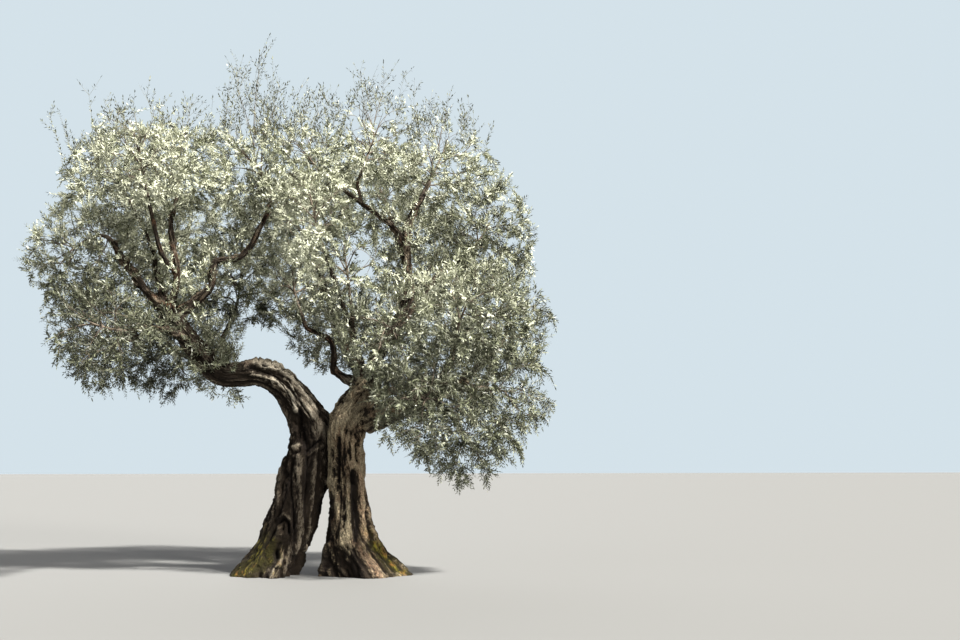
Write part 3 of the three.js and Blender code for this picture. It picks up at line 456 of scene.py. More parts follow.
def line_at(rows, t):
    """Places on a rounded line through rows of numbers, t running from 0 to 1."""
    rows = np.asarray(rows, float)
    padded = np.vstack([2 * rows[0] - rows[1], rows, 2 * rows[-1] - rows[-2]])
    last = len(rows) - 1
    place = np.clip(np.atleast_1d(np.asarray(t, float)), 0, 1) * last
    k = np.minimum(place.astype(int), last - 1)
    f = (place - k)[:, None]
    a, b, c, d = (padded[k + i] for i in range(4))
    return 0.5 * (2 * b + (c - a) * f + (2 * a - 5 * b + 4 * c - d) * f**2
                  + (3 * b - a - 3 * c + d) * f**3)


def stations_of(rows, start, stop, step, level_at_foot=False):
    """Stations at even steps of a limb's line, with a frame carried along without twist."""
    spread = line_at(rows, np.linspace(start, stop, 41))[:, :3]
    length = np.linalg.norm(np.diff(spread, axis=0), axis=1).sum()
    count = max(2, int(length / step + 0.5))
    t = np.linspace(start, stop, count + 1)
    rows_at = line_at(rows, t)
    along = unit((line_at(rows, t + 1e-3) - line_at(rows, t - 1e-3))[:, :3])
    if level_at_foot:
        rise = smooth_step(rows_at[:, 2:3], 0, LEVEL_HEIGHT)
        along = unit(along * rise + UP * (1 - rise))
    side = np.empty_like(along)
    now = np.array([1.0, 0.0, 0.0])
    for i, heading in enumerate(along):
        now = unit(now - heading * np.dot(now, heading))
        side[i] = now
    middle = rows_at[:, :3]
    walked = np.concatenate([[0], np.cumsum(np.linalg.norm(np.diff(middle, axis=0), axis=1))])
    return {"t": t, "middle": middle, "radius": rows_at[:, 3], "along": along, "side": side,
            "up": np.cross(along, side), "walked": walked}


def limb_lines():
    """The rows of every limb's middle line by name, boughs starting inside their parent."""
    def part(rows, start, stop):
        return line_at(rows, start + (stop - start) * np.arange(13) / 12)

    lines = {
        "stem_left": part(LEFT_LINE, 0, ARCH_START),
        "left_arch": part(LEFT_LINE, ARCH_START, RISE_START),
        "left_rise": part(LEFT_LINE, RISE_START, 1),
        "stem_right": np.array(RIGHT_LINE, float),
    }
    for name, (parent, at, radii, way) in BOUGHS.items():
        points = np.vstack([line_at(lines[parent], at)[:, :3], way])
        taper = (np.arange(len(points)) / (len(points) - 1)) ** 0.8
        lines[name] = np.column_stack([points, radii[0] + (radii[1] - radii[0]) * taper])
    return lines


LINES = limb_lines()


def limb_balls():
    """Middles and radii of balls strung along every limb, to keep twigs and leaves clear."""
    middles, radii = [], []
    for name, rows in LINES.items():
        stations = stations_of(rows, 0, 1, BALL_STEP)
        middles.append(stations["middle"])
        radii.append(stations["radius"] * (STEM_BALL if name.startswith("stem") else 1))
    return np.vstack(middles), np.concatenate(radii)


BALL_MIDDLES, BALL_RADII = limb_balls()


def clear_of_limbs(points, margin):
    """Which points keep their distance from every limb."""
    gap = np.linalg.norm(points[:, None] - BALL_MIDDLES[None], axis=2) - BALL_RADII
    return gap.min(axis=1) > margin


def inside_cell(number, points):
    """How far points lie inside a mass's own space, whose borders are planes between masses."""
    power = ((points[:, None] - MASS_MIDDLES[None]) ** 2).sum(axis=2) - MASS_REACHES**2
    span = 2 * np.linalg.norm(MASS_MIDDLES - MASS_MIDDLES[number], axis=1)
    span[number] = 1
    inside = (power - power[:, number:number + 1]) / span
    inside[:, number] = np.inf
    return inside.min(axis=1)


def bent_line(a, b, c, t):
    """Points at shares t of a line that bends from a to c past b."""
    t = np.asarray(t, float)[..., None]
    return a * (1 - t) ** 2 + 2 * b * t * (1 - t) + c * t**2


def bent_heading(a, b, c, t):
    t = np.asarray(t, float)[..., None]
    return unit((b - a) * (1 - t) + (c - b) * t + 1e-9)


def even_direction(k, count, turn):
    """One of a count of directions spread evenly over a ball."""
    z = 1 - (2 * k + 1) / count
    angle = k * GOLDEN_ANGLE + turn
    flat = np.sqrt(1 - z * z)
    return np.array([flat * np.cos(angle), flat * np.sin(angle), z])


def room_along(number, start, direction, most):
    """How far a line runs before it leaves its mass's own space or reach."""
    room = most
    while room > LEAST_ROOM:
        end = start + direction * room
        near = np.linalg.norm(end - MASS_MIDDLES[number]) < MASS_REACHES[number] * REACH_OVER
        if near and inside_cell(number, end[None])[0] > CELL_MARGIN + 4:
            break
        room -= ROOM_STEP
    return room


def mass_stem(number, bough):
    """The stem a mass grows on: start, bend and end of its line, and its first radius."""
    rows = LINES[bough]
    tip = rows[-1, :3]
    heading = unit(tip - line_at(rows, 1 - 1e-3)[0, :3])
    start = tip + heading * GAP
    middle = MASS_MIDDLES[number]
    end = start + (middle - start) * 1.25 + UP * MASS_REACHES[number] * 0.12
    bend = start + heading * np.linalg.norm(middle - start) * 0.55
    return start, bend, end, rows[-1, 3]


def mass_branches(number, stem, draw):
    """The branches of a mass: each leaves the stem short of its target and bends to it."""
    def wobble(size):
        return np.array([draw() - 0.5, draw() - 0.5, draw() - 0.5]) * size

    turn = draw() * FULL_TURN
    start, stem_bend, end, _ = stem
    middle, reach = MASS_MIDDLES[number], MASS_REACHES[number]
    axis = end - start
    branches = []
    for k in range(BRANCHES):
        direction = unit(even_direction(k, BRANCHES, turn) + wobble(0.35))
        room = room_along(number, middle, direction, reach * REACH_OVER)
        target = middle + direction * room * BRANCH_REACH
        share = np.dot(target - start, axis) / np.dot(axis, axis)
        root = bent_line(start, stem_bend, end, min(max(share * 0.7, 0.1), 0.92))
        lift = np.array([0, 0, 0.5 + 0.5 * draw()]) + wobble(0.8)
        bend = (root + target) / 2 + lift * np.linalg.norm(target - root) * 0.2
        points = bent_line(root, bend, target, np.arange(7) / 6)
        inside = inside_cell(number, points).min() > CELL_MARGIN + TWIG_ROOT_RADIUS
        if inside and clear_of_limbs(points[2:], TWIG_CLEARANCE).all():
            branches.append((root, bend, target))
    return branches


def top_shoots(number, stem, heights, draw):
    """Upright shoots that stand out of the top of a mass, as root, bend and tip."""
    middle = MASS_MIDDLES[number]
    shoots = []
    for k, top in enumerate(heights):
        lean = -1 if k % 2 else 1
        root = bent_line(*stem[:3], 0.8)
        x = middle[0] + lean * (90 + 110 * k) + 60 * draw()
        target = np.array([x, middle[1] + (draw() - 0.5) * 160, top - SHOOT_LEAF_LENGTH])
        bend = root + (target - root) * 0.45 - np.array([lean * 90, 0, 0])
        shoots.append((root, bend, target))
    return shoots


def skeleton_points(limbs, count):
    """Places, headings and radii at even shares of bent limbs (root, bend, tip, radii)."""
    t = (np.arange(count) + 0.6) / count
    places = np.vstack([bent_line(a, b, c, t) for a, b, c, _ in limbs])
    headings = np.vstack([bent_heading(a, b, c, t) for a, b, c, _ in limbs])
    radii = np.concatenate([r[0] + (r[1] - r[0]) * t for *_, r in limbs])
    return places, headings, radii


def grown_from(targets, places, headings, radii, straightness=0.6):
    """The place on the skeleton that each target grows from: near, and along its heading."""
    way = targets[:, None] - places[None]
    far = np.linalg.norm(way, axis=2)
    turn = np.sum(way * headings[None], axis=2) / np.maximum(far, 1)
    cost = np.maximum(far, 60) * (1 + straightness - straightness * turn)
    best = cost.argmin(axis=1)
    return places[best], headings[best], radii[best]


def side_twigs(number, skeleton, rng):
    """Twigs that fill a mass between its branches, as bent limbs off the skeleton."""
    middle, reach = MASS_MIDDLES[number], MASS_REACHES[number]
    turn = rng.random() * FULL_TURN
    targets = []
    for k in range(TWIGS):
        direction = unit(even_direction(k, TWIGS, turn) + (rng.random(3) - 0.5) * 0.3)
        room = room_along(number, middle, direction, reach * REACH_OVER)
        share = 0.62 if k % 3 == 0 else 0.84
        targets.append(middle + direction * room * share)
    targets = np.array(targets)
    roots, headings, radii = grown_from(targets, *skeleton)
    span = np.linalg.norm(targets - roots, axis=1, keepdims=True)
    bends = roots + headings * span * 0.38 + (targets - roots) * 0.12 + UP * span * 0.08
    thick = np.minimum(radii * 0.6, TWIG_RADIUS)
    clear = clear_of_limbs(targets, TWIG_CLEARANCE) & (span[:, 0] > 90)
    return [(a, b, c, (r, SHOOT_RADIUS)) for a, b, c, r, ok
            in zip(roots, bends, targets, thick, clear) if ok]


def shoot_targets(number, rng):
    """Places spread through a mass's own space, fewer in its middle.

    Its edge is uneven, and it reaches further where the next mass is near.
    """
    middle, reach = MASS_MIDDLES[number], MASS_REACHES[number]
    most = reach * MOST_REACH
    count = int((2 * most / SHOOT_GRID) ** 3)
    cube = ((np.arange(count)[:, None] + 1 + 1000 * number) * EVEN_STEPS % 1 - 0.5) * 2 * most
    points = middle + cube + (rng.random((count, 3)) - 0.5) * SHOOT_GRID * 0.4
    far = np.linalg.norm(points - middle, axis=1) / (reach * 1.08)
    border = inside_cell(number, points)
    uneven = soft_noise(unit(points - middle) * 2.1 + 7 * number, 31)
    limit = 0.93 + 0.3 * uneven + 0.24 * smooth_step(border, 240, 20)
    keep = (far < limit) & (rng.random(count) < 0.45 + 0.55 * far**2)
    keep &= rng.random(count) > 0.86 * smooth_step(as_seen(points)[:, 1], *LOOSE_TOP)
    keep &= (border > -30) & np.all((points > CROWN_LOW) & (points < CROWN_HIGH), axis=1)
    points = points[keep]
    return points[clear_of_limbs(points, SHOOT_CLEARANCE)]


def as_seen(points):
    """Where points are seen from the front, as x and z on the plane through the stems."""
    scale = SIGHT[1] / (SIGHT[1] - points[..., 1:2])
    return SIGHT[[0, 2]] + (points[..., [0, 2]] - SIGHT[[0, 2]]) * scale


def seen_over_limbs(points):
    """Which points stand in front of a limb that shows between the leaves."""
    seen = as_seen(points)
    over = np.zeros(len(points), bool)
    for name, (start, stop) in SHOWN.items():
        rows = stations_of(LINES[name], start, stop, 40)
        line = as_seen(rows["middle"])
        far = np.linalg.norm(seen[:, None] - line[None], axis=2) - rows["radius"]
        nearest = far.argmin(axis=1)
        before = points[:, 1] < rows["middle"][nearest, 1]
        over |= (far.min(axis=1) < SIGHT_MARGIN) & before
    return over


def in_the_sun(points):
    """Which points would keep the sun off the arch."""
    way = points[:, None] - SUNLIT
    along = way @ SUNWARD
    off = np.linalg.norm(way - along[..., None] * SUNWARD, axis=2)
    return np.any((off < SUN_GAP) & (along > 0), axis=1)


def open_sight(shoots, rng):
    """Shoots without a share of those that would hide limbs that show, or shade the arch."""
    hiding = np.zeros(len(shoots[0]), bool)
    for t in (0.35, 0.7, 1.0):
        points = bent_line(*shoots[:3], np.full(len(hiding), t))
        hiding |= seen_over_limbs(points) | in_the_sun(points)
    keep = ~hiding | (rng.random(len(hiding)) > OPEN_SHARE)
    return tuple(v[keep] for v in shoots)


def leafy_shoots(number, skeleton, rng):
    """Thin leafy shoots of a mass as arrays: roots, bends, tips and root radii."""
    targets = shoot_targets(number, rng)
    roots, headings, radii = grown_from(targets, *skeleton)
    way = targets - roots
    span = np.linalg.norm(way, axis=1, keepdims=True)
    length = np.clip(span, *SHOOT_LENGTH)
    tips = roots + unit(way + headings * 20) * length
    droop = smooth_step(tips[:, 2:3], *DROOP_HEIGHTS) * 0.25 - 0.06
    bends = roots + headings * length * 0.25 + (tips - roots) * 0.3
    bends += UP * length * (0.05 + droop * 0.5)
    tips = tips - UP * length * droop
    near = clear_of_limbs(tips, TIP_CLEARANCE)
    return roots[near], bends[near], tips[near], np.minimum(radii[near] * 0.6, SHOOT_RADIUS)


def side_shoots(shoots, each, lengths, rng):
    """Shorter shoots off the upper part of others, so many each."""
    a, b, c, thick = (np.repeat(v, each, axis=0) for v in shoots)
    count = len(a)
    t = 0.35 + 0.6 * rng.random(count)
    roots = np.concatenate([bent_line(*v, t[k:k + 1]) for k, v in enumerate(zip(a, b, c))])
    heading = unit(c - a)
    out = unit(np.cross(heading, rng.random((count, 3)) - 0.5))
    length = (lengths[0] + (lengths[1] - lengths[0]) * rng.random(count))[:, None]
    way = unit(heading * 0.7 + out * 0.7 + UP * 0.15)
    return roots, roots + way * length * 0.5, roots + (way + UP * 0.12) * length, thick * 0.7


def wisps(number, top, count, rng):
    """Loose upright shoots in the fringe over a mass, with side shoots of their own."""
    middle, reach = MASS_MIDDLES[number], MASS_REACHES[number]
    angle = rng.random(count) * FULL_TURN
    out = np.sqrt(rng.random(count)) * reach * 0.95
    level = middle[2] + np.sqrt(np.maximum(reach**2 - out**2, 0)) * 0.6
    roots = np.column_stack([middle[0] + out * np.cos(angle), middle[1] + out * np.sin(angle),
                             level])
    height = level + (top - level) * (0.35 + 0.6 * rng.random(count) ** 1.6)
    height = np.maximum(height, level + WISP_HEIGHT) - out / reach * 120
    lean = (rng.random((count, 2)) - 0.5) * 0.9 * (height - level)[:, None]
    tips = np.column_stack([roots[:, :2] + lean, height])
    bends = (roots + tips) / 2 - np.column_stack([lean * 0.25, np.zeros(count)])
    return roots, bends, tips, np.full(count, SHOOT_RADIUS)


def sprouts(rows, start, stop, step, longest, rng):
    """Leafy shoots straight off a limb, between two shares of its length."""
    stations = stations_of(rows, start, stop, step)
    count = len(stations["t"])
    turn = rng.random(count) * FULL_TURN
    out = stations["side"] * np.cos(turn)[:, None] + stations["up"] * np.sin(turn)[:, None]
    roots = stations["middle"] + out * stations["radius"][:, None] * 0.85
    more = (longest - SPROUT_LENGTH) * rng.random(count) ** 1.2
    length = (SPROUT_LENGTH + more)[:, None]
    way = unit(out + UP * 0.15 + stations["along"] * 0.2 + (rng.random((count, 3)) - 0.5) * 0.8)
    tips = roots + unit(way + UP * 0.25 + (rng.random((count, 3)) - 0.5) * 1.1) * length
    bends = roots + way * length * 0.5
    return roots, bends, tips, np.full(count, SHOOT_RADIUS)


def leaves_on(shoots, rng, start=0.12, spacing=PAIR_SPACING, size=1.0):
    """Opposite leaves along shoots, each pair a quarter turn from the one before.

    Gives roots, directions, facings, sizes and the number of the shoot each leaf is on.
    """
    roots, bends, tips, _ = shoots
    count = len(roots)
    length = np.linalg.norm(tips - roots, axis=1)
    pairs = np.maximum((length * (1 - start) / spacing).astype(int), 3)
    most = pairs.max()
    step = (np.arange(most)[None] + 0.4 + 0.3 * rng.random((count, most))) / pairs[:, None]
    used = step < 1
    t = start + (1 - start) * np.minimum(step, 1)
    a, b, c = (v[:, None] for v in (roots, bends, tips))
    place = bent_line(a, b, c, t)
    heading = bent_heading(a, b, c, t)
    first = unit(np.cross(heading, np.array([0.31, 0.77, 0.56])))
    second = np.cross(heading, first)
    turn = rng.random((count, 1)) * FULL_TURN + np.arange(most)[None] * QUARTER_TURN
    turn = (turn + (rng.random((count, most)) - 0.5) * 0.7)[..., None]
    side = first * np.cos(turn) + second * np.sin(turn)
    parts = []
    for sign in (1, -1):
        splay = (0.6 + 0.5 * rng.random((count, most)))[..., None]
        along = heading * np.cos(splay) + sign * side * np.sin(splay)
        along = unit(along + (rng.random(along.shape) - 0.5) * 0.3)
        facing = heading * np.sin(splay) - sign * side * np.cos(splay)
        facing = facing + UP * 0.55 + (rng.random(along.shape) - 0.5) * 0.7
        facing = unit(facing - along * dot(facing, along))
        scale = size * (0.72 + 0.4 * rng.random((count, most))) * (1 - 0.35 * t**4)
        number = np.broadcast_to(np.arange(count)[:, None], t.shape)
        keep = used & (rng.random((count, most)) > 0.08)
        thinned = 0.5 * smooth_step(as_seen(place)[..., 1], *LEAF_TOP)
        keep &= rng.random((count, most)) > thinned
        parts.append([v[keep] for v in (place, along, facing, scale, number)])
    end = bent_heading(roots, bends, tips, np.ones(count))
    facing = unit(np.cross(end, np.cross(UP + 0.01, end)) + (rng.random((count, 3)) - 0.5))
    facing = unit(facing - end * dot(facing, end))
    parts.append([tips, end, facing, size * (0.6 + 0.3 * rng.random(count)), np.arange(count)])
    return [np.concatenate(v) for v in zip(*parts)]


def node(tree, kind, sockets=None, **settings):
    """A node of a tree with its settings, and its input sockets set or joined."""
    made = tree.nodes.new(kind)
    for key, value in settings.items():
        setattr(made, key, value)
    for key, value in (sockets or {}).items():
        if isinstance(value, bpy.types.NodeSocket):
            tree.links.new(value, made.inputs[key])
        else:
            made.inputs[key].default_value = value
    return made


def maths(tree, operation, a, b=0.0, clamp=False):
    """The output of a Math node."""
    return node(tree, "ShaderNodeMath", {0: a, 1: b}, operation=operation,
                use_clamp=clamp).outputs[0]


def new_tree(kind, name, inputs, outputs):
    """A node tree of a kind with named inputs and outputs, and its two end nodes."""
    tree = bpy.data.node_groups.new(name, kind)
    for label, (socket, value) in inputs.items():
        made = tree.interface.new_socket(label, in_out="INPUT", socket_type=socket)
        if value is not None:
            made.default_value = value
    for label, socket in outputs.items():
        tree.interface.new_socket(label, in_out="OUTPUT", socket_type=socket)
    return tree, tree.nodes.new("NodeGroupInput"), tree.nodes.new("NodeGroupOutput")


def new_growth(name, inputs):
    """A geometry tree with a Geometry input and output, and named inputs."""
    return new_tree("GeometryNodeTree", name,
                    {"Geometry": ("NodeSocketGeometry", None), **inputs},
                    {"Geometry": "NodeSocketGeometry"})


def new_group(name, inputs, outputs):
    """A shader node group with named inputs and outputs."""
    return new_tree("ShaderNodeTree", name, inputs, outputs)


def named(tree, name, kind):
    """The value of a named attribute."""
    return node(tree, "GeometryNodeInputNamedAttribute", {"Name": name},
                data_type=kind).outputs["Attribute"]


def finish_growth(tree, geometry, material, output):
    """The last steps of every growth tree: smooth faces, no instances, and a material."""
    smooth = node(tree, "GeometryNodeSetShadeSmooth", {"Geometry": geometry})
    real = node(tree, "GeometryNodeRealizeInstances", {"Geometry": smooth.outputs[0]})
    dressed = node(tree, "GeometryNodeSetMaterial",
                   {"Geometry": real.outputs[0], "Material": material})
    tree.links.new(dressed.outputs[0], output.inputs[0])


def twig_growth():
    """Lines of edges into tapering twigs, as thick as their `radius` attribute says."""
    tree, given, output = new_growth("twig_growth", {
        "Sides": ("NodeSocketInt", 3), "Material": ("NodeSocketMaterial", None)})
    line = node(tree, "GeometryNodeMeshToCurve", {"Mesh": given.outputs["Geometry"]})
    section = node(tree, "GeometryNodeCurvePrimitiveCircle",
                   {"Resolution": given.outputs["Sides"], "Radius": 1.0})
    skin = node(tree, "GeometryNodeCurveToMesh", {
        "Curve": line.outputs[0], "Profile Curve": section.outputs[0],
        "Scale": named(tree, "radius", "FLOAT"), "Fill Caps": True})
    finish_growth(tree, skin.outputs[0], given.outputs["Material"], output)
    return tree


def leaf_growth():
    """Points into narrow leaves of a few faces that lie along `along` and face `facing`."""
    tree, given, output = new_growth("leaf_growth", {
        "Leaf length": ("NodeSocketFloat", LEAF_LENGTH / 1000),
        "Leaf width": ("NodeSocketFloat", LEAF_WIDTH / 1000),
        "Curl": ("NodeSocketFloat", LEAF_CURL / 1000),
        "Rows": ("NodeSocketInt", 4),
        "Material": ("NodeSocketMaterial", None)})
    grid = node(tree, "GeometryNodeMeshGrid", {
        "Size X": 1.0, "Size Y": 1.0, "Vertices X": 2,
        "Vertices Y": given.outputs["Rows"]})
    place = node(tree, "ShaderNodeSeparateXYZ",
                 {0: node(tree, "GeometryNodeInputPosition").outputs[0]})
    share = maths(tree, "ADD", place.outputs["Y"], 0.5)
    bulge = maths(tree, "SINE", maths(tree, "MULTIPLY", share, math.pi))
    bulge = maths(tree, "MULTIPLY", maths(tree, "GREATER_THAN", bulge, 0.01), bulge)
    across = maths(tree, "MULTIPLY", maths(tree, "MULTIPLY", place.outputs["X"], bulge),
                   given.outputs["Leaf width"])
    across = maths(tree, "MULTIPLY", across, 1.15)
    run = maths(tree, "MULTIPLY", share, given.outputs["Leaf length"])
    rise = maths(tree, "MULTIPLY", maths(tree, "SUBTRACT", share, maths(
        tree, "MULTIPLY", maths(tree, "POWER", share, 2.0), 1.4)), given.outputs["Curl"])
    shaped = node(tree, "ShaderNodeCombineXYZ", {0: across, 1: run, 2: rise})
    stored = node(tree, "GeometryNodeStoreNamedAttribute", {
        "Geometry": grid.outputs["Mesh"], "Name": "leaf_uv",
        "Value": grid.outputs["UV Map"]}, data_type="FLOAT2", domain="CORNER")
    moved = node(tree, "GeometryNodeSetPosition",
                 {"Geometry": stored.outputs[0], "Position": shaped.outputs[0]})
    blade = node(tree, "GeometryNodeMergeByDistance",
                 {"Geometry": moved.outputs[0], "Distance": 0.0005})
    lie = node(tree, "FunctionNodeAxesToRotation", {
        "Primary Axis": named(tree, "along", "FLOAT_VECTOR"),
        "Secondary Axis": named(tree, "facing", "FLOAT_VECTOR")},
        primary_axis="Y", secondary_axis="Z")
    points = node(tree, "GeometryNodeMeshToPoints", {"Mesh": given.outputs["Geometry"]})
    spread = node(tree, "GeometryNodeInstanceOnPoints", {
        "Points": points.outputs[0], "Instance": blade.outputs[0],
        "Rotation": lie.outputs[0], "Scale": named(tree, "size", "FLOAT_VECTOR")})
    finish_growth(tree, spread.outputs[0], given.outputs["Material"], output)
    return tree


def store(mesh, label, values):
    """Keeps one number or one vector for every point of a mesh as a named attribute."""
    flat = values.ndim == 1
    kept = mesh.attributes.new(label, "FLOAT" if flat else "FLOAT_VECTOR", "POINT")
    kept.data.foreach_set("value" if flat else "vector", values.astype(np.float32).ravel())


def placed(name, data):
    """An object of some data, at the origin and in the scene."""
    made = bpy.data.objects.new(name, data)
    bpy.context.scene.collection.objects.link(made)
    return made


def point_mesh(name, places, edges, attributes):
    """A mesh of points given in millimetres, with edges between them and named attributes."""
    mesh = bpy.data.meshes.new(name)
    mesh.vertices.add(len(places))
    mesh.vertices.foreach_set("co", (places / 1000).astype(np.float32).ravel())
    if len(edges):
        mesh.edges.add(len(edges))
        mesh.edges.foreach_set("vertices", np.asarray(edges, np.int32).ravel())
    for label, values in attributes.items():
        store(mesh, label, values)
    return mesh


def grown_piece(name, seed_mesh, tree, inputs, drop):
    """A plain mesh object of what a growth tree makes of a seed mesh, less some attributes."""
    seed = placed(name + "_seed", seed_mesh)
    grow = seed.modifiers.new("growth", "NODES")
    grow.node_group = tree
    for item in tree.interface.items_tree:
        if item.item_type == "SOCKET" and item.in_out == "INPUT" and item.name in inputs:
            grow[item.identifier] = inputs[item.name]
    graph = bpy.context.evaluated_depsgraph_get()
    mesh = bpy.data.meshes.new_from_object(seed.evaluated_get(graph),
                                           preserve_all_data_layers=True, depsgraph=graph)
    seed.modifiers.clear()
    bpy.data.objects.remove(seed)
    bpy.data.meshes.remove(seed_mesh)
    for label in drop:
        if label in mesh.attributes:
            mesh.attributes.remove(mesh.attributes[label])
    mesh.name = name
    return placed(name, mesh)


def twig_piece(name, tree, limbs, material, sides, steps):
    """One piece of the twigs given as root, bend and tip arrays with root and tip radii."""
    roots, bends, tips, thick, thin = limbs
    t = np.linspace(0, 1, steps + 1)
    places = bent_line(roots[:, None], bends[:, None], tips[:, None], t[None])
    radius = thick[:, None] + (thin - thick)[:, None] * t[None] ** 0.8
    start = np.arange(len(roots))[:, None] * (steps + 1) + np.arange(steps)[None]
    edges = np.stack([start, start + 1], -1).reshape(-1, 2)
    mesh = point_mesh(name, places.reshape(-1, 3), edges, {"radius": radius.ravel() / 1000})
    return grown_piece(name, mesh, tree, {"Sides": sides, "Material": material}, ["radius"])


def stem_reach(stations, angles, roots, phase):
    """The outline of a stem: buttress roots round its foot, shallow flutes above."""
    height = np.maximum(stations["middle"][:, 2], 0)[:, None]
    radius = stations["radius"][:, None]
    flute = np.cos(2 * angles + phase + height * 0.0006)
    flute = flute + 0.7 * np.cos(3 * angles - phase * 1.7 + height * 0.0009)
    reach = radius * (1 + FLUTE_DEPTH * 0.6 * flute)
    for bearing, out, spread in roots:
        off = angles - math.radians(bearing)
        off = np.arctan2(np.sin(off), np.cos(off))
        fade = np.exp(-((off / math.radians(spread)) ** 2) - (height / FLARE_HEIGHT) ** 1.5)
        reach = reach + out * fade
    return reach


def limb_noise(around, along, wide, length, seed):
    """Soft noise over a limb's skin that closes round it."""
    places = np.stack([np.cos(around) * wide, np.sin(around) * wide, along / length], -1)
    return soft_noise(places.reshape(-1, 3), seed).reshape(around.shape)


def furrows(around, along, count, length, seed, sharp=5.0):
    """Ridges of height 1 with narrow furrows between: so many round the limb, so long each."""
    made = np.abs(limb_noise(around, along, count / (2 * math.pi), length, seed))
    return 1 - np.exp(-sharp * made)


def far_from_line(flat, line):
    """How far places in x and z are from a line of x, z points."""
    line = np.array(line, float)
    far = np.full(flat.shape[:-1], np.inf)
    for a, b in zip(line[:-1], line[1:]):
        share = np.clip(((flat - a) @ (b - a)) / np.dot(b - a, b - a), 0, 1)
        far = np.minimum(far, np.linalg.norm(flat - a - share[..., None] * (b - a), axis=-1))
    return far


def marks_on(places, outward):
    """How far marks raise the front of a limb, where they do, and the finishes they bring, the
    dark one being painted shade.
    """
    front = smooth_step(-outward[..., 1], -0.15, 0.25)
    ragged = soft_noise(places.reshape(-1, 3) / (45, 45, 130), 4).reshape(front.shape)
    ragged += 0.5 * soft_noise(places.reshape(-1, 3) / (22, 22, 60), 5).reshape(front.shape)
    rise = np.zeros(front.shape)
    calm = np.zeros(front.shape)
    finish = {key: np.zeros(front.shape) for key in ("pale", "dark", "moss", "red")}
    for _, line, width, height, finishes in STEM_MARKS:
        far = far_from_line(places[..., [0, 2]], line)
        weight = np.exp(-((far / (width * (1 + 1.1 * ragged))) ** 2)) * front
        rise += weight * height
        if height > 0:
            calm = np.maximum(calm, weight)
        for key, strength in finishes.items():
            finish[key] = np.maximum(finish[key], weight * strength)
    return rise, calm, finish


def skin_mesh(name, rings, attributes):
    """A closed mesh through rings of points in millimetres, with point attributes."""
    count, sides = rings.shape[:2]
    caps = np.stack([rings[0].mean(axis=0), rings[-1].mean(axis=0)])
    places = np.vstack([rings.reshape(-1, 3), caps]) / 1000
    k, i = np.meshgrid(np.arange(count - 1), np.arange(sides), indexing="ij")
    a = (k * sides + i).ravel()
    b = (k * sides + (i + 1) % sides).ravel()
    quads = np.stack([a, b, b + sides, a + sides], -1)
    i = np.arange(sides)
    last = (count - 1) * sides
    foot = np.stack([np.full(sides, count * sides), (i + 1) % sides, i], -1)
    top = np.stack([np.full(sides, count * sides + 1), last + i, last + (i + 1) % sides], -1)
    mesh = bpy.data.meshes.new(name)
    mesh.from_pydata(places.tolist(), [], quads.tolist() + foot.tolist() + top.tolist())
    for label, values in attributes.items():
        ends = np.stack([values[0].mean(axis=0), values[-1].mean(axis=0)])
        store(mesh, label,
              np.concatenate([values.reshape(count * sides, *values.shape[2:]), ends]))
    mesh.shade_smooth()
    return mesh


def skin_grid(stations, sides):
    """For every point of a limb's skin, its angle round the limb and the way walked along it."""
    angles = np.broadcast_to(np.arange(sides) * 2 * math.pi / sides, (len(stations["t"]), sides))
    return angles, np.broadcast_to(stations["walked"][:, None], angles.shape)


def place_rings(stations, angles, reach):
    """Points of rings round a limb at a reach from its middle line, and outward directions."""
    side, up = stations["side"][:, None], stations["up"][:, None]
    outward = side * np.cos(angles)[..., None] + up * np.sin(angles)[..., None]
    return stations["middle"][:, None] + outward * reach[..., None], outward


def stem_skin(name, rows, roots, phase, seed, foot_share, strand_depth):
    """One stem from its foot to its end, with strands, furrows, knobs and hollows.

    The foot's share is where the flat cut under the stem lies on its middle line.
    """
    stations = stations_of(rows, foot_share, 1, STEM_STEP, level_at_foot=True)
    angles, walked = skin_grid(stations, STEM_SIDES)
    reach = stem_reach(stations, angles, roots, phase)
    base, outward = place_rings(stations, angles, reach)
    sway = limb_noise(angles, walked, 1.2, 700, seed + 9)
    jitter = limb_noise(angles, walked, 5, 110, seed + 8)
    turned = angles + 0.00022 * walked + 0.45 * sway + 0.08 * jitter
    strands = furrows(turned, walked, 10, 1500, seed, 4)
    ridges = furrows(turned + 0.1 * sway, walked, 24, 420, seed + 1)
    cracks = furrows(turned, walked, 56, 150, seed + 2)
    flakes = furrows(turned, walked, 100, 48, seed + 3)
    mark_rise, calm, finish = marks_on(base, outward)
    scale = (stations["radius"][:, None] / 330) ** 0.8
    fine = (52 * (ridges - 0.7) + 32 * (cracks - 0.7) + 15 * (flakes - 0.7)) * (1 - 0.55 * calm)
    relief = (strand_depth * (strands - 0.65) * (1 - 0.6 * calm) + fine) * scale
    relief += 16 * limb_noise(turned, walked, 2.2, 260, seed + 6) * scale
    tip = np.clip((stations["walked"][-1] - walked) / 60, 0, 1) ** 0.5
    rings, _ = place_rings(stations, angles, (reach + relief + mark_rise) * (0.35 + 0.65 * tip))
    rings[..., 2] = np.maximum(rings[..., 2], 0)
    rings[0, :, 2] = 0
    height = np.clip(0.58 + (relief + mark_rise * 0.7) / (115 * scale), 0, 1)
    grain = np.stack([np.cos(turned) * 10, np.sin(turned) * 10, walked / 110], -1)
    return skin_mesh(name, rings, {"height": height, "grain": grain, **finish})


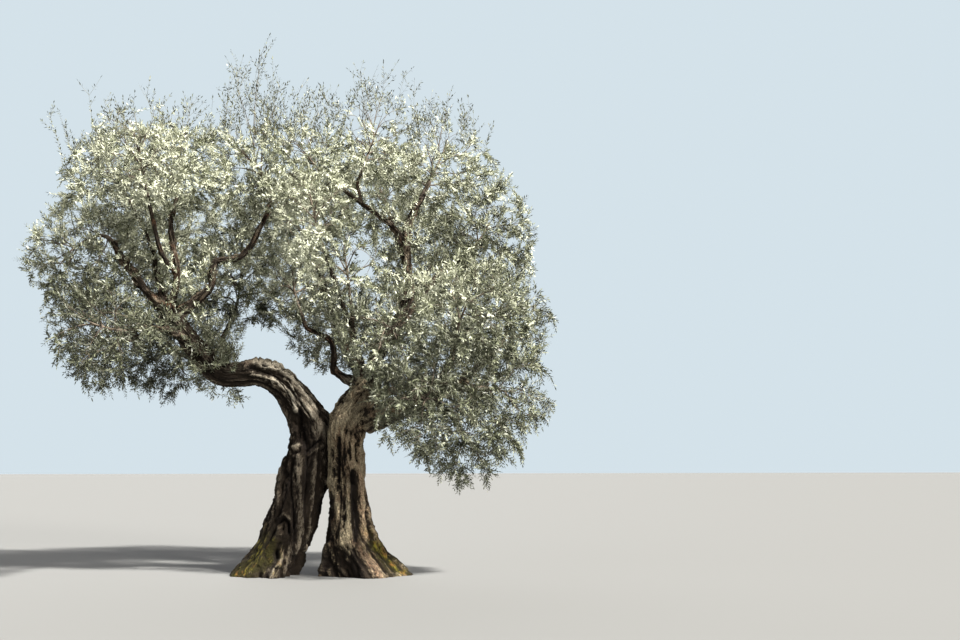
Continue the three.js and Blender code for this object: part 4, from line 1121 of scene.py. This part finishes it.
def bough_skin(name, rows, parent_radius, seed):
    """One bough as it leaves its parent in a collar, with ridges and knots."""
    stations = stations_of(rows, 0, 1, BOUGH_STEP)
    angles, walked = skin_grid(stations, BOUGH_SIDES)
    radius = stations["radius"][:, None]
    flare = 0.5 * min(max(parent_radius / radius[0, 0] - 1, 0.4) / 1.5, 1)
    collar = flare * np.exp(-((walked / (parent_radius * 1.25)) ** 2))
    sunk = 0.6 + 0.4 * smooth_step(walked, 0, parent_radius * 0.9)
    sway = limb_noise(angles, walked, 0.8, 240, seed + 9)
    knots = np.maximum(limb_noise(angles, walked, 1.4, 110, seed + 5) - 0.16, 0)
    turned = angles + 0.0006 * walked + 0.5 * sway
    ridges = furrows(turned, walked, 7, 330, seed)
    cracks = furrows(turned, walked, 17, 90, seed + 1)
    relief = 0.36 * (ridges - 0.65) + 0.22 * (cracks - 0.65) + 0.34 * sway + 1.7 * knots
    base, outward = place_rings(stations, angles, radius * (1 + collar))
    rise, calm, finish = marks_on(base, outward)
    relief *= np.minimum(80 / radius, 1) ** 0.6
    reach = radius * (1 + collar + relief * (1 - 0.5 * calm)) * sunk + rise * 0.6
    rings, _ = place_rings(stations, angles, reach)
    height = np.clip(0.55 + relief * 1.5, 0, 1)
    grain = np.stack([np.cos(turned) * 3, np.sin(turned) * 3, walked / 90], -1)
    return skin_mesh(name, rings, {"height": height, "grain": grain, **finish})


def joined(name, meshes, material):
    """One object of one or more meshes, in place, with a material."""
    objects = [placed(mesh.name, mesh) for mesh in meshes]
    if len(objects) > 1:
        with bpy.context.temp_override(active_object=objects[0], selected_objects=objects,
                                       selected_editable_objects=objects):
            bpy.ops.object.join()
    made = objects[0]
    made.name = name
    made.data.name = name
    made.data.materials.clear()
    made.data.materials.append(material)
    return made


def mixed_colour(tree, share, first, second):
    """The output of a Mix node between two colours."""
    made = node(tree, "ShaderNodeMix", {0: share, 6: first, 7: second}, data_type="RGBA")
    return made.outputs[2]


def stretched_noise(tree, vector, scale, detail, roughness=0.6):
    return node(tree, "ShaderNodeTexNoise", {
        "Vector": vector, "Scale": scale, "Detail": detail,
        "Roughness": roughness}).outputs["Fac"]


def between(tree, value, low, high):
    """A value spread from 0 at low to 1 at high."""
    return node(tree, "ShaderNodeMapRange", {0: value, 1: low, 2: high}).outputs[0]


def warped(tree, vector, scale, size):
    """A vector moved about by noise."""
    cloud = node(tree, "ShaderNodeTexNoise", {
        "Vector": vector, "Scale": scale, "Detail": 3.0}).outputs["Color"]
    moved = node(tree, "ShaderNodeVectorMath", {0: cloud, "Scale": size}, operation="SCALE")
    return node(tree, "ShaderNodeVectorMath", {0: vector, 1: moved.outputs[0]},
                operation="ADD").outputs[0]


def crack_lines(tree, vector, scale, width):
    """1 on the plates of the bark, and 0 in the thin cracks between them."""
    edge = node(tree, "ShaderNodeTexVoronoi", {"Vector": vector, "Scale": scale},
                feature="DISTANCE_TO_EDGE").outputs["Distance"]
    return between(tree, edge, 0.0, width)


def times(tree, a, b):
    """The product of two values."""
    return maths(tree, "MULTIPLY", a, b)


def ridge_colour(group, finish, patch, lightness):
    """The bark's ridges: two tones, red patches, pale places, bleached places that are partly
    painted sunlight, and pale edges that are partly painted highlight.
    """
    ridge, pale, red = (finish[name + " colour"] for name in ("Ridge", "Pale", "Red"))
    broad = stretched_noise(group, finish["Place"], 2.2, 3)
    reddish = times(group, between(group, patch, 0.5, 0.68), finish["Red patches"])
    bare = maths(group, "MINIMUM", finish["Pale"], 1.0)
    bleach_and_sun_share = maths(group, "MAXIMUM", maths(group, "SUBTRACT", finish["Pale"], 1.0), 0.0)
    # Pale edges on the crests: partly bleached bark, partly painted highlight.
    edges = times(group, between(group, lightness, 0.86, 1.12), 0.7)
    for share, tone in ((between(group, broad, 0.35, 0.68), pale), (reddish, red),
                        (finish["Red"], red), (bare, pale), (bleach_and_sun_share, BLEACHED_AND_PAINTED_SUN),
                        (edges, pale)):
        ridge = mixed_colour(group, share, ridge, tone)
    return ridge


def moss_colour(group, finish, patch, lightness):
    """How much moss covers the bark, and its colour: rusty in patches, dark in the furrows."""
    cover = maths(group, "MULTIPLY", finish["Moss"],
                  maths(group, "ADD", between(group, patch, 0.38, 0.5), 0.2), clamp=True)
    rusty = between(group, stretched_noise(group, finish["Place"], 9.0, 3), 0.48, 0.6)
    moss = mixed_colour(group, rusty, finish["Moss colour"], RUSTY_MOSS)
    lit = between(group, lightness, 0.62, 1.0)
    return cover, mixed_colour(group, lit, SHADED_MOSS, moss)


def bark_group():
    """Bark's colour and fine height from its grain, its relief and its finishes, the dark one
    painted shade.
    """
    group, given, output = new_group("furrowed_bark", {
        "Grain": ("NodeSocketVector", None), "Place": ("NodeSocketVector", None),
        "Height": ("NodeSocketFloat", 0.5), "Pale": ("NodeSocketFloat", 0.0),
        "Dark": ("NodeSocketFloat", 0.0), "Moss": ("NodeSocketFloat", 0.0),
        "Red": ("NodeSocketFloat", 0.0), "Red patches": ("NodeSocketFloat", 0.4),
        "Ridge colour": ("NodeSocketColor", (0.1, 0.082, 0.06, 1)),
        "Furrow colour": ("NodeSocketColor", (0.016, 0.0105, 0.006, 1)),
        "Red colour": ("NodeSocketColor", (0.12, 0.062, 0.038, 1)),
        "Pale colour": ("NodeSocketColor", (0.26, 0.225, 0.165, 1)),
        "Moss colour": ("NodeSocketColor", (0.26, 0.225, 0.022, 1)),
    }, {"Colour": "NodeSocketColor", "Roughness": "NodeSocketFloat", "Bump": "NodeSocketFloat"})
    finish = given.outputs
    furrow = finish["Furrow colour"]
    patch = stretched_noise(group, finish["Place"], 5.0, 4)
    crisp = between(group, stretched_noise(group, finish["Grain"], 1.6, 6, 0.7), 0.36, 0.62)
    lightness = maths(group, "ADD", times(group, crisp, 0.36), finish["Height"])
    # Lower relief runs to the furrow colour: partly the furrows' own darker bark, partly painted
    # shade.
    high = between(group, lightness, 0.55, 0.84)
    bent = warped(group, finish["Grain"], 1.3, 1.1)
    plates = times(group, crack_lines(group, bent, 1.1, 0.11),
                   crack_lines(group, bent, 2.9, 0.13))
    cracked = maths(group, "SUBTRACT", 0.9, times(group, finish["Pale"], 0.5))
    cracks = times(group, maths(group, "SUBTRACT", 1.0, plates), cracked)
    pits = stretched_noise(group, finish["Place"], 55.0, 4, 0.7)
    grit = times(group, between(group, pits, 0.54, 0.36), 0.6)
    colour = ridge_colour(group, finish, patch, lightness)
    colour = mixed_colour(group, cracks, colour, furrow)
    colour = mixed_colour(group, grit, colour, furrow)
    colour = mixed_colour(group, high, furrow, colour)
    cover, moss = moss_colour(group, finish, patch, lightness)
    colour = mixed_colour(group, cover, colour, moss)
    # Painted shade: the dark finish turns grooves, hollows and shaded places near-black.
    colour = mixed_colour(group, times(group, finish["Dark"], 0.9), colour, PAINTED_HOLLOW_SHADE)
    rough = maths(group, "SUBTRACT", 0.98, times(group, high, 0.16))
    bump = maths(group, "ADD", times(group, crisp, 0.5), times(group, plates, 0.35))
    bump = maths(group, "ADD", bump, times(group, pits, 0.35))
    for socket, value in {"Colour": colour, "Roughness": rough, "Bump": bump}.items():
        group.links.new(value, output.inputs[socket])
    return group


def new_material(name, colour):
    material = bpy.data.materials.new(name)
    material.use_nodes = True
    material.diffuse_color = (*colour, 1)
    tree = material.node_tree
    return material, tree, tree.nodes["Principled BSDF"]


def attribute(tree, name, output="Fac"):
    return node(tree, "ShaderNodeAttribute", attribute_name=name).outputs[output]


def bark_material(name, group, ridge, pale, red, patches):
    """Bark for a stem or for boughs, whose colours follow the attributes of its skin."""
    material, tree, surface = new_material(name, ridge)
    bark = node(tree, "ShaderNodeGroup", {
        "Grain": attribute(tree, "grain", "Vector"),
        "Place": node(tree, "ShaderNodeTexCoord").outputs["Object"],
        **{label.capitalize(): attribute(tree, label)
           for label in ("height", "pale", "dark", "moss", "red")},
        "Ridge colour": (*ridge, 1), "Pale colour": (*pale, 1), "Red colour": (*red, 1),
        "Red patches": patches}, node_tree=group)
    tree.links.new(bark.outputs["Colour"], surface.inputs["Base Color"])
    tree.links.new(bark.outputs["Roughness"], surface.inputs["Roughness"])
    relief = node(tree, "ShaderNodeBump", {
        "Height": bark.outputs["Bump"], "Strength": 1.0, "Distance": 0.02})
    tree.links.new(relief.outputs[0], surface.inputs["Normal"])
    surface.inputs["Specular IOR Level"].default_value = 0.25
    return material


def twig_material(name, light, dark):
    """Thin grey-brown bark of twigs, flecked along them."""
    material, tree, surface = new_material(name, light)
    place = node(tree, "ShaderNodeTexCoord").outputs["Object"]
    fleck = stretched_noise(tree, place, 14.0, 3)
    colour = mixed_colour(tree, between(tree, fleck, 0.35, 0.65), (*dark, 1), (*light, 1))
    tree.links.new(colour, surface.inputs["Base Color"])
    relief = node(tree, "ShaderNodeBump", {
        "Height": stretched_noise(tree, place, 90.0, 2), "Strength": 0.3, "Distance": 0.003})
    tree.links.new(relief.outputs[0], surface.inputs["Normal"])
    surface.inputs["Roughness"].default_value = 0.85
    return material


def leaf_group():
    """The pale rib down the middle of a leaf, from its own map."""
    group, given, output = new_group("leaf_rib", {
        "Leaf place": ("NodeSocketVector", None)}, {"Rib": "NodeSocketFloat"})
    place = node(group, "ShaderNodeSeparateXYZ", {0: given.outputs["Leaf place"]})
    off = maths(group, "ABSOLUTE", maths(group, "SUBTRACT", place.outputs["X"], 0.5))
    group.links.new(between(group, off, 0.09, 0.03), output.inputs["Rib"])
    return group


def leaf_material(name, group, face, back, rib):
    """A leathery leaf: its upper face, its silvery underside and a pale rib."""
    material, tree, surface = new_material(name, face)
    place = node(tree, "ShaderNodeUVMap", uv_map="leaf_uv").outputs[0]
    ribbed = node(tree, "ShaderNodeGroup", {"Leaf place": place}, node_tree=group)
    behind = node(tree, "ShaderNodeNewGeometry").outputs["Backfacing"]
    front = mixed_colour(tree, maths(tree, "MULTIPLY", ribbed.outputs["Rib"], 0.5),
                         (*face, 1), (*rib, 1))
    colour = mixed_colour(tree, behind, front, (*back, 1))
    tree.links.new(colour, surface.inputs["Base Color"])
    surface.inputs["Roughness"].default_value = 0.48
    surface.inputs["Specular IOR Level"].default_value = 0.5
    return material


def make_camera():
    """A camera where the photograph was taken from, with its angle of view and plain tones."""
    data = bpy.data.cameras.new("camera")
    data.lens = 45
    data.sensor_width = 36
    data.clip_end = 300
    camera = placed("camera", data)
    camera.location = SIGHT / 1000
    camera.rotation_euler = Euler((math.radians(90 + LOOK_UP), 0, math.radians(-LOOK_RIGHT)))
    bpy.context.scene.camera = camera
    bpy.context.scene.view_settings.view_transform = "Standard"


def high_light(name, turn, width, power, colour):
    """A wide, soft and even light from far away, turned by degrees about X, Y and Z."""
    data = bpy.data.lights.new(name, "SUN")
    data.angle = math.radians(width)
    data.energy = power
    data.color = colour
    placed(name, data).rotation_euler = Euler([math.radians(angle) for angle in turn])


def make_floor():
    """A plain pale floor, 120 m past the tree on every side."""
    mesh = bpy.data.meshes.new("floor")
    mesh.from_pydata([(-120, -120, 0), (120, -120, 0), (120, 120, 0), (-120, 120, 0)],
                     [], [(0, 1, 2, 3)])
    material, _, surface = new_material("pale_floor", FLOOR_COLOUR)
    surface.inputs["Base Color"].default_value = (*FLOOR_COLOUR, 1)
    surface.inputs["Roughness"].default_value = 0.9
    mesh.materials.append(material)
    floor = placed("floor", mesh)


def make_sky():
    """A weak even light all round, and a plain pale backdrop that only the camera sees."""
    world = bpy.data.worlds.new("soft_light")
    bpy.context.scene.world = world
    world.use_nodes = True
    tree = world.node_tree
    shade = tree.nodes["Background"]
    shade.inputs["Color"].default_value = (*SKY_TINT, 1)
    shade.inputs["Strength"].default_value = 0.14
    backdrop = node(tree, "ShaderNodeBackground", {
        "Color": (*BACKDROP_COLOUR, 1), "Strength": 1.0})
    seen = node(tree, "ShaderNodeLightPath").outputs["Is Camera Ray"]
    both = node(tree, "ShaderNodeMixShader", {0: seen, 1: shade.outputs[0],
                                              2: backdrop.outputs[0]})
    tree.links.new(both.outputs[0], tree.nodes["World Output"].inputs["Surface"])


def make_lights():
    """A soft high light from the right, a lower one beside it, and two weak wide ones."""
    for name, turn, width, power, colour in (
            ("key_light", (42, 0, 44), 4, 14.5, (1, 0.968, 0.905)),
            ("low_light", (72, 0, 34), 16, 2.4, (1, 0.96, 0.88)),
            ("left_light", (62, 0, -60), 60, 0.5, SKY_TINT),
            ("back_light", (60, 0, 190), 60, 1.2, SKY_TINT)):
        high_light(name, turn, width, power, colour)


def fringe_over(number, heights, tops, rng):
    """The thin outermost shoots over a mass that reaches the crown's top."""
    fringe = []
    for root, bend, tip in tops:
        long_shoot = (np.array([bent_line(root, bend, tip, 0.35)]), np.array([tip - UP * 150]),
                      np.array([tip + UP * TOP_SHOOT_RISE]), np.array([3.5]))
        fringe += [long_shoot, side_shoots(long_shoot, TOP_SIDE_SHOOTS, TOP_SIDE_LENGTH, rng)]
    level = MASS_MIDDLES[number, 2] + MASS_REACHES[number]
    if level > FRINGE_LEVEL:
        top = max(heights + [level + WISP_HEIGHT])
        loose = wisps(number, top, WISPS[0] + WISPS[1] * len(heights), rng)
        fringe += [loose, side_shoots(loose, 3, SIDE_SHOOT_LENGTH, rng)]
    return fringe


def grow_masses():
    """Every mass's stem, branches, twigs and leafy shoots, by the rule of the solids."""
    thick, thin, sprays, short, fringe = [], [], [], [], []
    for number, (name, (bough, _, _, heights)) in enumerate(MASSES.items()):
        draw = seeded(7919 * (number + 1)).__next__
        rng = np.random.default_rng(number + 11)
        stem = mass_stem(number, bough)
        branches = mass_branches(number, stem, draw)
        tops = top_shoots(number, stem, heights, draw)
        limbs = [(*stem[:3], (stem[3] * 0.95, MASS_STEM_TIP_RADIUS))]
        limbs += [(*branch, (TWIG_ROOT_RADIUS, BRANCH_TIP_RADIUS)) for branch in branches]
        twigs = side_twigs(number, skeleton_points(limbs, 12), rng)
        thick += limbs + [(*top, TOP_SHOOT_RADII) for top in tops]
        thin += twigs
        spray = leafy_shoots(number, skeleton_points(limbs[1:] + twigs, 8), rng)
        sprays.append(open_sight(spray, rng))
        fringe += fringe_over(number, heights, tops, rng)
    for k, (limb, (start, stop, step, longest)) in enumerate(SPROUTED.items()):
        rng = np.random.default_rng(500 + k)
        made = sprouts(LINES[limb], start, stop, step, longest, rng)
        for shoots in (made, side_shoots(made, 2, SIDE_SHOOT_LENGTH, rng)):
            short.append(open_sight(shoots, rng))
    return thick, thin, sprays, short, fringe


def limb_arrays(limbs):
    """Bent limbs as arrays of roots, bends, tips, root radii and tip radii."""
    a, b, c = (np.array([limb[i] for limb in limbs]) for i in range(3))
    radii = np.array([limb[3] for limb in limbs], float)
    return a, b, c, radii[:, 0], radii[:, 1]


def shoot_arrays(sprays):
    """Sprays of shoots as one set of arrays, with root and tip radii."""
    a, b, c, r = (np.concatenate(v) for v in zip(*sprays))
    return a, b, c, r, np.full(len(r), SHOOT_TIP_RADIUS)


def leaf_moods(tips, shoot, rng):
    """How light each leaf is: patchy, painted sun to the top and sun and shade in parts, by
    chance by shoot and by leaf.
    """
    # Painted sunlight to the top, and painted sun and shade in parts of the crown.
    light = smooth_step(tips[:, 2], *PAINTED_SUN_HEIGHTS) * 0.62
    for x, z, reach, change in SUN_AND_SHADE_PARTS:
        off = np.hypot(tips[:, 0] - x, tips[:, 2] - z)
        light += change * np.exp(-((off / reach) ** 2))
    mood = soft_noise(tips / LIGHT_PATCH, 77) * 0.6 + light + rng.random(len(light)) * 0.7
    return mood[shoot] + rng.random(len(shoot)) * 0.75


def dress_leaves(dressings, materials, tree):
    """Leaves on every shoot, dealt out by spray over the tints, one piece a tint.

    Each dressing is a list of sprays, how leaves sit on them, and how much lighter they are.
    """
    rng = np.random.default_rng(5)
    parts, moods = [], []
    for sprays, settings, change in dressings:
        for spray in sprays:
            found = leaves_on(spray, rng, **settings)
            parts.append(found[:4])
            moods.append(leaf_moods(spray[2], found[4], rng) + change)
    place, along, facing, size = (np.concatenate(v) for v in zip(*parts))
    order = np.argsort(np.concatenate(moods), kind="stable")
    shares = np.cumsum([0] + [share for _, share, _ in materials])
    pieces = []
    for k, (material, _, rows) in enumerate(materials):
        mine = order[int(shares[k] * len(order)):int(shares[k + 1] * len(order))]
        curl = 0.3 + 1.6 * rng.random(len(mine))
        mesh = point_mesh("leaves", place[mine], [], {
            "along": along[mine], "facing": facing[mine],
            "size": np.column_stack([size[mine], size[mine], size[mine] * curl])})
        pieces.append(grown_piece(material.name, mesh, tree, {
            "Leaf length": LEAF_LENGTH / 1000, "Leaf width": LEAF_WIDTH / 1000,
            "Curl": LEAF_CURL / 1000, "Rows": rows, "Material": material},
            ["along", "facing", "size"]))
    return pieces


def build_bark(group):
    """Skins over the stems and boughs in place of their solids."""
    # Lit and shaded copies of one bark: the left stem's colours are darkened as painted shade,
    # and those of the right stem and its low bough are lightened as painted sunlight.
    left_painted_shade = bark_material(
        "painted_shade_bark", group, ridge=(0.105, 0.084, 0.058), pale=(0.3, 0.255, 0.19),
        red=(0.15, 0.085, 0.06), patches=0.4)
    right_painted_sun = bark_material(
        "painted_sun_bark", group, ridge=(0.34, 0.262, 0.165), pale=(0.66, 0.56, 0.37),
        red=(0.5, 0.235, 0.14), patches=0.5)
    young = bark_material(
        "bough_bark", group, ridge=(0.12, 0.09, 0.064), pale=(0.26, 0.21, 0.15),
        red=(0.36, 0.155, 0.07), patches=0.75)
    skins = {}
    for k, (name, (parent, at, _, _)) in enumerate(BOUGHS.items()):
        around = line_at(LINES[parent], at)[0, 3]
        skins[name] = bough_skin(name, LINES[name], around, 100 + 7 * k)
    left_skin = stem_skin("left_stem", LEFT_LINE, LEFT_ROOTS, phase=0.4, seed=21,
                          foot_share=1 / 15, strand_depth=66)
    right_skin = stem_skin("right_stem", RIGHT_LINE, RIGHT_ROOTS, phase=1.3, seed=52,
                           foot_share=1 / 8, strand_depth=42)
    left = joined("left_stem_bark", [left_skin], left_painted_shade)
    right = joined("right_stem_bark", [right_skin, skins.pop("bough_right_low")], right_painted_sun)
    boughs = joined("bough_bark_skin", list(skins.values()), young)
    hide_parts("stem_left", "left_arch", "left_rise")
    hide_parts("stem_right", "bough_right_low")
    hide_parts(*skins)
    for piece, slot in ((left, "stem_bark"), (right, "stem_bark"), (boughs, "bough_bark")):
        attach(piece, "root")


def build_foliage():
    """Twigs and leaves in place of the masses' solids."""
    thick, thin, sprays, short, fringe = grow_masses()
    twig_tree, leaf_tree = twig_growth(), leaf_growth()
    brown = twig_material("twig_bark", (0.14, 0.11, 0.08), (0.045, 0.033, 0.025))
    grey = twig_material("shoot_bark", (0.2, 0.19, 0.13), (0.1, 0.09, 0.06))
    twigs = [
        twig_piece("branches", twig_tree, limb_arrays(thick), brown, sides=6, steps=9),
        twig_piece("side_twigs", twig_tree, limb_arrays(thin), brown, sides=4, steps=5),
        twig_piece("leafy_shoots", twig_tree, shoot_arrays(sprays), grey, sides=3, steps=2),
        twig_piece("fringe_shoots", twig_tree, shoot_arrays(short + fringe), grey,
                   sides=3, steps=2),
    ]
    rib = leaf_group()
    materials = [(leaf_material(name, rib, face, back, LEAF_RIB), share, rows)
                 for name, face, back, share, rows in TINTS]
    leaves = dress_leaves([
        (sprays, {}, 0), (short, {"start": 0.15, "spacing": 24, "size": 0.95}, 0),
        (fringe, {"start": 0.2, "spacing": 30, "size": 0.95}, -0.6)], materials, leaf_tree)
    for piece in twigs + leaves:
        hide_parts(*MASSES)
        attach(piece, "root")


make_camera()
make_floor()
make_sky()
make_lights()
build_bark(bark_group())
build_foliage()
